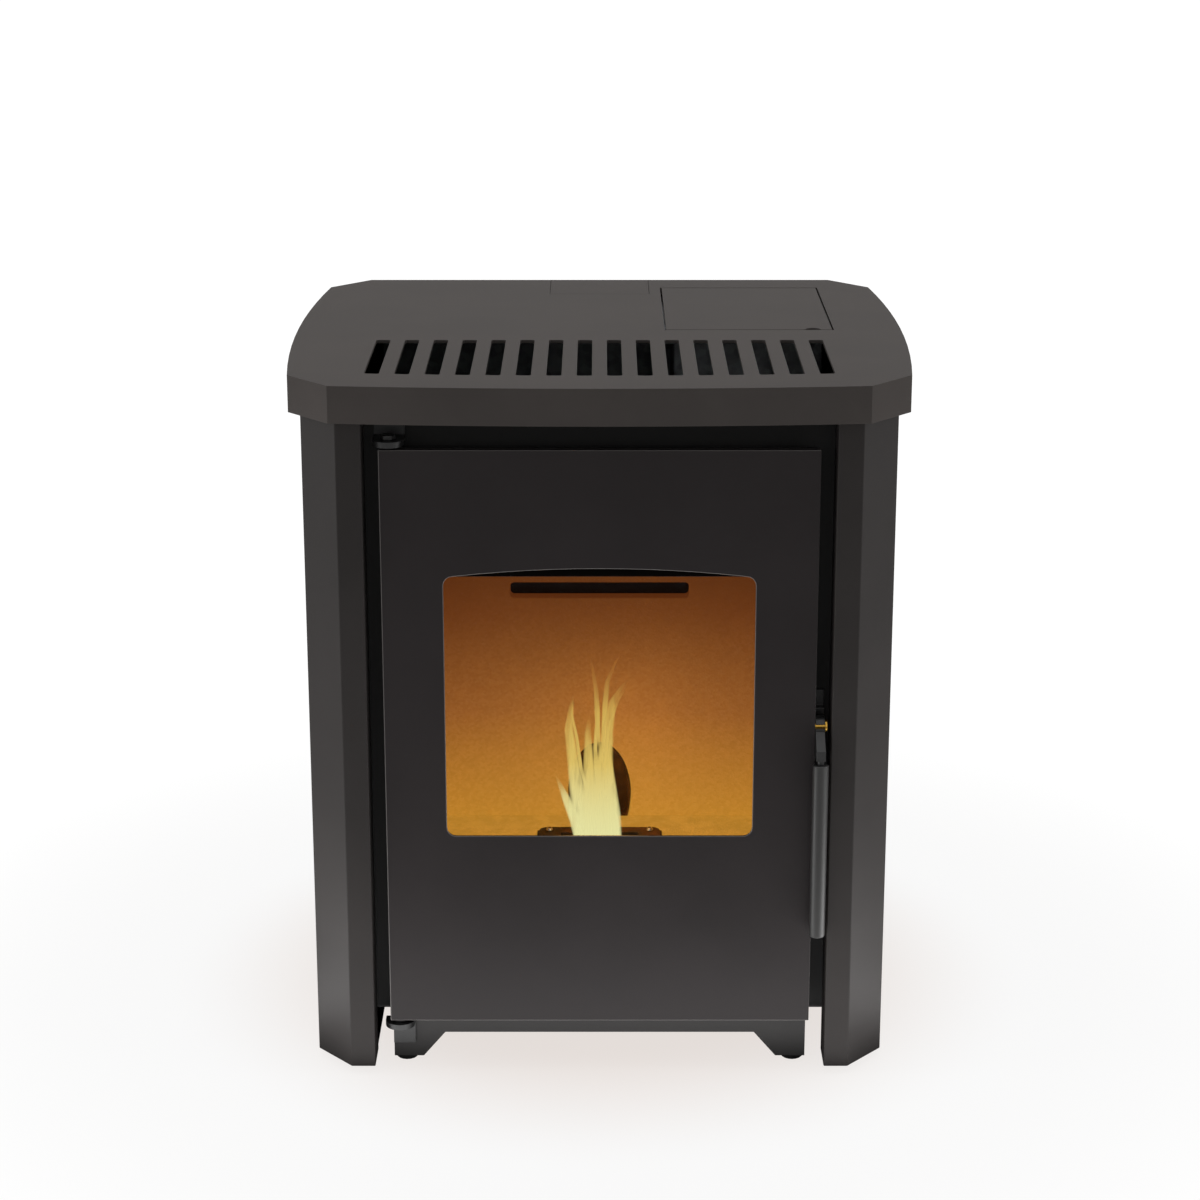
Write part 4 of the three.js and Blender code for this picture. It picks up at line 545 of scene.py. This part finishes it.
# Each tongue's spine, from root to tip: x, z and half the width there, in millimetres.
TONGUES = {
    "body": [(0, 158, 15), (0, 190, 21), (-1, 220, 18), (-3, 246, 9), (-4, 262, 1)],
    "right": [(4, 160, 9), (3, 200, 11), (4, 245, 9), (7, 280, 6), (12, 309, 4), (21, 324, 2.5),
              (33, 336, 0.5)],
    "left": [(-13, 160, 10), (-17, 200, 10), (-23, 239, 6.5), (-28, 280, 4.5), (-26, 300, 3),
             (-24, 314, 0.5)],
    "middle": [(-7, 160, 7), (-9, 210, 7), (-10, 248, 5.5), (-10.5, 280, 3.5), (-9, 300, 0.5)],
    "low_right": [(15, 160, 7), (13, 200, 7), (9, 239, 5), (7, 263, 3.5), (16, 277, 0.5)],
    "low_left": [(-15, 160, 6), (-22, 190, 6), (-31, 214, 4.5), (-41, 238, 0.5)],
    "streak_right": [(6, 215, 1), (5, 250, 2), (8, 285, 2), (17, 312, 1.4), (31, 335, 0.4)],
    "streak_left": [(-10, 215, 1), (-17, 245, 2), (-21, 275, 1.8), (-25, 296, 1.2), (-23, 322, 0.3)],
    "streak_middle": [(0, 190, 2), (-2, 230, 3), (-4, 262, 2.2), (-3, 290, 1.2), (-6, 306, 0.3)],
    "wisp_left": [(-1, 262, 2), (-2, 300, 3), (-3, 320, 2.5), (-6, 340, 1.8), (-9, 357, 0.4)],
    "wisp_right": [(3, 270, 2), (5, 305, 3), (7, 327, 2.5), (14, 345, 1.8), (21, 357, 0.4)],
}
MILLIMETRES = 1000
FLAME_Y = -0.105
ROW_SPACING = 0.005
THICKNESS = 0.35
POINTS = 16
angles = [math.tau * step / POINTS for step in range(POINTS)]
for number, (name, spine) in enumerate(TONGUES.items()):
    row = FLAME_Y + ROW_SPACING * (number % 3 - 1)
    rings = []
    for x, z, half in spine:
        half /= MILLIMETRES
        rings.append([(x / MILLIMETRES + half * math.cos(angle), row + THICKNESS * half * math.sin(angle),
                       z / MILLIMETRES) for angle in angles])
    tongue = loft(f"flame_{name}", rings, flame.material)
    shares = tongue.data.uv_layers.new(name="across_along")
    for loop in tongue.data.loops:
        level, step = divmod(loop.vertex_index, POINTS)
        shares.data[loop.index].uv = (0.5 + 0.5 * math.cos(angles[step]), level / (len(spine) - 1))
    tongue.data.shade_smooth()
    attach(tongue, NODES["burn_pot"]["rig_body"])

# ---- heat exchanger tubes, smoke path and exhaust fan --------------------------------------------
# Galvanised tubes lie over the firebox and carry room air; a sheet duct leads the smoke down to a
# cast housing, whose stainless wheel drives it out of the painted 80 mm spigot.
dress(galvanised, "galvanised", *[f"air_tube_{number}" for number in range(1, 5)])
dress(galvanised, "galvanised", "smoke_duct", "exhaust_motor")
dress(cast_iron.material, "cast_iron", "exhaust_housing")
dress(stainless, "stainless", "exhaust_impeller")
black_steel = powder_coat("blackened_steel", (0.011, 0.011, 0.011), 0.42, 0.5)
rounded("flue_spigot", "flue_collar", black_steel, 0.0004)

# ---- pellet feed: hopper, guard, auger and chute -------------------------------------------------
# The hopper is folded galvanised sheet with a flat guard grille in it. A stainless screw climbs its
# tube from the hopper's throat and drops the pellets into the cast chute, which ends behind the board.
dress(galvanised, "galvanised", "hopper", "auger_tube")
dress(stainless, "stainless", "auger_screw", "hopper_guard")
dress(black_steel, "black_steel", "auger_motor")

chute_iron = Finish("sooted_chute", Metallic=0.2, Specular_IOR_Level=0.3)
soot = chute_iron.step(chute_iron.noise(60, 4), 0.35, 0.7)
chute_iron.set(Base_Color=chute_iron.mixed(soot, (0.045, 0.022, 0.01), (0.12, 0.06, 0.024)))
chute_iron.set(Roughness=0.62 + soot * 0.2)
chute_iron.relief(chute_iron.noise(500, 3), 0.0003)
shape = bmesh.new()
shape.from_mesh(NODES["chute_tube"].data)
bmesh.ops.remove_doubles(shape, verts=shape.verts, dist=2e-6)
CHUTE_END = -0.0048
bmesh.ops.bisect_plane(shape, geom=shape.verts[:] + shape.edges[:] + shape.faces[:],
                       plane_co=(0, CHUTE_END, 0), plane_no=(0, -1, 0), clear_outer=True)
bmesh.ops.triangle_fill(shape, edges=[edge for edge in shape.edges if edge.is_boundary], use_beauty=True)
bmesh.ops.recalc_face_normals(shape, faces=shape.faces)
chute = meshed(shape, "chute_casting", chute_iron.material)
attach(chute, NODES["chute_tube"]["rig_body"])
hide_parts("chute_tube")

# The mouth low in the back board is a blind cup with a rim, standing just proud of the board.
MOUTH_FIT = 0.0004
RIM_PROUD = 0.0008
RIM_WIDTH = 0.002
POCKET_DEPTH = 0.012
POCKET_TAPER = 0.001
POCKET_STEP = 0.0015
mouth_back = board_high[1] - MOUTH_FIT
mouth_front = board_low[1] - RIM_PROUD
mouth_floor = board_low[1] + POCKET_DEPTH
foot = board_low[2] + MOUTH_FIT
rim_inside = MOUTH_FIT + RIM_WIDTH
mouth = loft("chute_mouth", [
    [(x, depth, z) for x, z in mouth_arch(inset, sill)]
    for depth, inset, sill in [
        (mouth_back, MOUTH_FIT, foot), (mouth_front, MOUTH_FIT, foot),
        (mouth_front, rim_inside, foot + POCKET_STEP),
        (mouth_floor, rim_inside + POCKET_TAPER, foot + POCKET_STEP),
    ]
], chute_iron.material)
eased(mouth, 0.0004)
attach(mouth, NODES["chute_tube"]["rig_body"])

# ---- room fan ------------------------------------------------------------------------------------
# A cross-flow rotor of curled sheet vanes in a galvanised scroll, with a small black motor at its end.
dress(galvanised, "galvanised", "room_fan_housing", "room_fan_rotor")
dress(black_steel, "black_steel", "room_fan_motor")

# ---- electrics -----------------------------------------------------------------------------------
# A green control board on stand-offs, the moulded mains inlet with its rocker, and a clamped
# thermostat whose red reset button comes out through the back panel.


def moulded(name, color, roughness):
    """Injection-moulded plastic with a fine spark-eroded texture."""
    plastic = Finish(name, Base_Color=color, Specular_IOR_Level=0.5)
    texture = plastic.noise(1600, 2)
    plastic.set(Roughness=roughness + (texture - 0.5) * 0.2)
    plastic.relief(texture, 0.00003)
    return plastic.material


black_plastic = moulded("black_moulding", (0.011, 0.011, 0.0115), 0.45)
red_plastic = moulded("red_moulding", (0.3, 0.014, 0.008), 0.3)
rounded("mains_inlet", "mains_inlet_moulding", black_plastic, 0.0005)
rounded("power_rocker", "power_rocker_moulding", red_plastic, 0.0005)
rounded("reset_button", "reset_button_moulding", red_plastic, 0.0004)
dress(black_plastic, "black_plastic", "thermostat")

board_mask = Finish("solder_mask", Specular_IOR_Level=0.5, Roughness=0.38)
bricks = board_mask.node("ShaderNodeTexBrick", {}, {
    "Vector": board_mask.stretched((1, 1, 1), (math.radians(90), 0, 0)),
    "Scale": 90.0, "Mortar Size": 0.05}, 1)
tracks = board_mask.step(bricks, 0.4, 0.6)
board_mask.set(Base_Color=board_mask.mixed(tracks, (0.012, 0.06, 0.026), (0.03, 0.11, 0.045)))
dress(board_mask.material, "board", "control_board")

# ---- back panel, side panels and front plate -----------------------------------------------------
# The back is a folded galvanised sheet with louvres. The sides are one painted sheet each, folded
# round the front corners into pillars. The front plate is matt black and carries the hinges.
dress(galvanised, "galvanised", "back_panel")
side_paint = powder_coat("side_powder_coat", (0.029, 0.0255, 0.0245), 0.5, 0.15)
rounded("left_side_panel", "left_side_folded", side_paint, 0.0012, 3)
rounded("right_side_panel", "right_side_folded", side_paint, 0.0012, 3)
rounded("front_plate", "front_plate_folded", inner_paint, 0.0006)

# ---- hinges and latch keeper ---------------------------------------------------------------------
# Blackened steel lugs with turned pins above and below the door, and the keeper for its latch.
for node, name in [
    ("top_hinge_bracket", "top_hinge_lug"), ("top_hinge_pin", "top_hinge_bolt"),
    ("bottom_hinge_bracket", "bottom_hinge_lug"), ("bottom_hinge_pin", "bottom_hinge_bolt"),
    ("latch_keeper", "latch_keeper_bar"),
]:
    rounded(node, name, black_steel, 0.0005)

# ---- door: painted panel, inner frame, ceramic glass and its seals -------------------------------
# A flat panel with folded edges in satin black, an inner frame behind it, and between them the
# clear ceramic glass on a flat seal. A rope seal in the frame's channel closes on the front plate.
door_paint = powder_coat("door_paint", (0.0185, 0.015, 0.0154), 0.42, 0.2)
# The door's folded edges carry a painted highlight: their rounded bevels get a light grey coat.
edge_highlight = Finish("door_edge_painted_highlight", Base_Color=(0.12, 0.112, 0.108), Specular_IOR_Level=0.4)
edge_highlight.set(Roughness=0.4 + (edge_highlight.noise(500, 2) - 0.5) * 0.2)
edge_highlight.relief(edge_highlight.noise(700, 2), 0.00005)
door_skin = rounded("door_panel", "door_skin", door_paint, 0.001, 3)
# The rounded bevels of the door take the painted highlight's light grey coat.
door_skin.data.materials.append(edge_highlight.material)
door_skin.modifiers["rounded edges"].material = 1
rounded("door_frame", "door_inner_frame", inner_paint, 0.0005)

# The glass is clear up to a line under the window's arch, and black above it.
CLEAR_GLASS = 0.12
CLEAR_UP_TO = 0.4612
BLACK_FROM = 0.4616
glass = Finish("ceramic_glass", Base_Color=(0.002, 0.0015, 0.001), Specular_IOR_Level=0.03, IOR=1.45)
blackened = glass.step(glass.along("Z"), CLEAR_UP_TO, BLACK_FROM)
glass.set(Alpha=CLEAR_GLASS + blackened * (1 - CLEAR_GLASS))
glass.set(Roughness=0.03 + glass.step(glass.noise(7, 4), 0.55, 0.8) * 0.12)
dress(glass.material, "glass", "door_glass")

rope = Finish("glass_fibre_rope", Roughness=0.95, Specular_IOR_Level=0.1)
weave = rope.node("ShaderNodeTexWave", {"wave_type": "BANDS", "bands_direction": "DIAGONAL"}, {
    "Vector": rope.place, "Scale": 95.0, "Distortion": 2.0, "Detail": 2.0}, "Fac")
rope.set(Base_Color=rope.mixed(weave, (0.05, 0.048, 0.043), (0.14, 0.134, 0.12)))
rope.relief(weave, 0.0008)
rounded("glass_gasket", "glass_seal", rope.material, 0.0006)
rounded("door_gasket", "door_rope_seal", rope.material, 0.003, 4)

# ---- latch: lever, brass-coloured cross pin and grip ---------------------------------------------
# The black lever is split round a yellow-passivated pin. Its stud carries a turned grip with a
# soft satin coat and eased ends.
zinc_yellow = drawn_metal("yellow_passivated", (0.62, 0.36, 0.06), 0.26)
rounded("latch_lever", "latch_lever_forged", black_steel, 0.0006)
rounded("latch_pin", "latch_pin_turned", zinc_yellow, 0.0004)
grip_coat = moulded("grip_coat", (0.02, 0.0195, 0.019), 0.4)
rounded("grip", "grip_turned", grip_coat, 0.0008, 3, 35)

# ---- top plate, flue cover and hopper lid --------------------------------------------------------
# The top is one folded sheet with a bowed front, painted anthracite like the lid and the cover
# that lie flush in it. A rubber seal under the lid keeps the hopper closed.
top_paint = powder_coat("top_powder_coat", (0.075, 0.0665, 0.0625), 0.6, 0.05)
rounded("top_plate", "top_plate_folded", top_paint, 0.0009, 3)
rounded("flue_cover", "flue_cover_plate", top_paint, 0.0004)
rounded("hopper_lid", "hopper_lid_plate", top_paint, 0.0005)
dress(foot_rubber.material, "rubber", "lid_gasket")

# ---- studio: plain pale floor, soft light, camera ------------------------------------------------
# A white floor without a horizon, broad soft lamps, and the camera where the photograph was taken.
# The three lamps lying on the floor stand in for the light that it throws back up.


def lamp(name, place, aim, size, watts):
    data = bpy.data.lights.new(name, "AREA")
    data.shape = "RECTANGLE"
    data.size = size[0]
    data.size_y = size[1]
    data.energy = watts
    made = placed(name, data)
    made.location = place
    made.rotation_mode = "QUATERNION"
    made.rotation_quaternion = (Vector(aim) - Vector(place)).to_track_quat("-Z", "Y")
    made.visible_camera = False


lamp("overhead", (0, 0.1, 2.6), (0, 0, 0.5), (2.4, 2.4), 17)
lamp("left_bank", (-2.4, -0.35, 0.8), (-0.1, -0.1, 0.35), (1.0, 1.6), 15)
lamp("right_bank", (2.4, -0.35, 0.8), (0.1, -0.1, 0.35), (1.0, 1.6), 12)
lamp("floor_bounce", (0, -0.35, 0.004), (0, -0.35, 1), (1.1, 0.2), 1.8)
for side, name in ((-1, "left_floor_bounce"), (1, "right_floor_bounce")):
    lamp(name, (side * 0.5, -0.3, 0.004), (side * 0.5, -0.3, 1), (0.35, 0.3), 1.6)

fire_light = bpy.data.lights.new("fire_light", "POINT")
fire_light.energy = 0.5
fire_light.color = (1.0, 0.5, 0.12)
fire_light.shadow_soft_size = 0.035
placed("fire_light", fire_light).location = (0, -0.11, 0.24)

REACH = 14.0
floor_mesh = bpy.data.meshes.new("floor")
floor_mesh.from_pydata(
    [(-REACH, -REACH, 0), (REACH, -REACH, 0), (REACH, REACH, 0), (-REACH, REACH, 0)], [], [(0, 1, 2, 3)])
floor = placed("floor", floor_mesh)

# Seen by the camera the floor is mostly self-lit, with a warm shade painted under the stove and white
# far away, so that it runs into the background; its lit share carries the shadow.
SELF_LIT = 0.82
GLOW = 1.07
PAINTED_SHADE_FADES = (0.18, 0.42)
LIT_SHARE_FADES = (0.45, 1.1)
paper = Finish("floor_paper", Base_Color=(0.86, 0.855, 0.845), Roughness=0.9, Specular_IOR_Level=0.0)
away = paper.node("ShaderNodeVectorMath", {"operation": "LENGTH"}, {0: paper.place}, 1)
from_camera = paper.node("ShaderNodeLightPath", {}, {}, "Is Camera Ray")
through_glass = paper.node("ShaderNodeLightPath", {}, {}, "Is Transmission Ray")
looked_at = from_camera.maths("MAXIMUM", from_camera, through_glass)
# The warm grey under the stove is a painted shade, fading out to white away from it.
white = paper.node("ShaderNodeEmission", {}, {
    "Color": paper.mixed(paper.step(away, *PAINTED_SHADE_FADES), (0.88, 0.82, 0.785), (1, 1, 1)),
    "Strength": GLOW})
faded = paper.node("ShaderNodeMixShader", {}, {
    0: looked_at * (SELF_LIT + paper.step(away, *LIT_SHARE_FADES) * (1 - SELF_LIT)),
    1: Wire(paper, paper.shader.outputs[0]), 2: white})
paper.join(paper.tree.nodes["Material Output"].inputs["Surface"], faded)
floor_mesh.materials.append(paper.material)

SKY_FOR_LIGHT = 0.28
world = bpy.data.worlds.new("studio")
bpy.context.scene.world = world
world.use_nodes = True
sky = world.node_tree
rays = sky.nodes.new("ShaderNodeLightPath")
seen = rays.outputs["Is Camera Ray"]
for kind in ("Is Transmission Ray", "Is Glossy Ray"):
    either = sky.nodes.new("ShaderNodeMath")
    either.operation = "MAXIMUM"
    sky.links.new(seen, either.inputs[0])
    sky.links.new(rays.outputs[kind], either.inputs[1])
    seen = either.outputs[0]
brightness = sky.nodes.new("ShaderNodeMapRange")
brightness.inputs["To Min"].default_value = SKY_FOR_LIGHT
brightness.inputs["To Max"].default_value = 1.0
sky.links.new(seen, brightness.inputs["Value"])
sky.links.new(brightness.outputs[0], sky.nodes["Background"].inputs["Strength"])
sky.nodes["Background"].inputs["Color"].default_value = (1, 1, 1, 1)

camera_data = bpy.data.cameras.new("camera")
camera_data.lens = 85
camera_data.sensor_width = 36
camera = placed("camera", camera_data)
camera.location = (0.0004, -2.539, 1.130)
CAMERA_PITCH = 16.6
camera.rotation_euler = (math.radians(90 - CAMERA_PITCH), 0, 0)
bpy.context.scene.camera = camera
bpy.context.scene.view_settings.view_transform = "Standard"
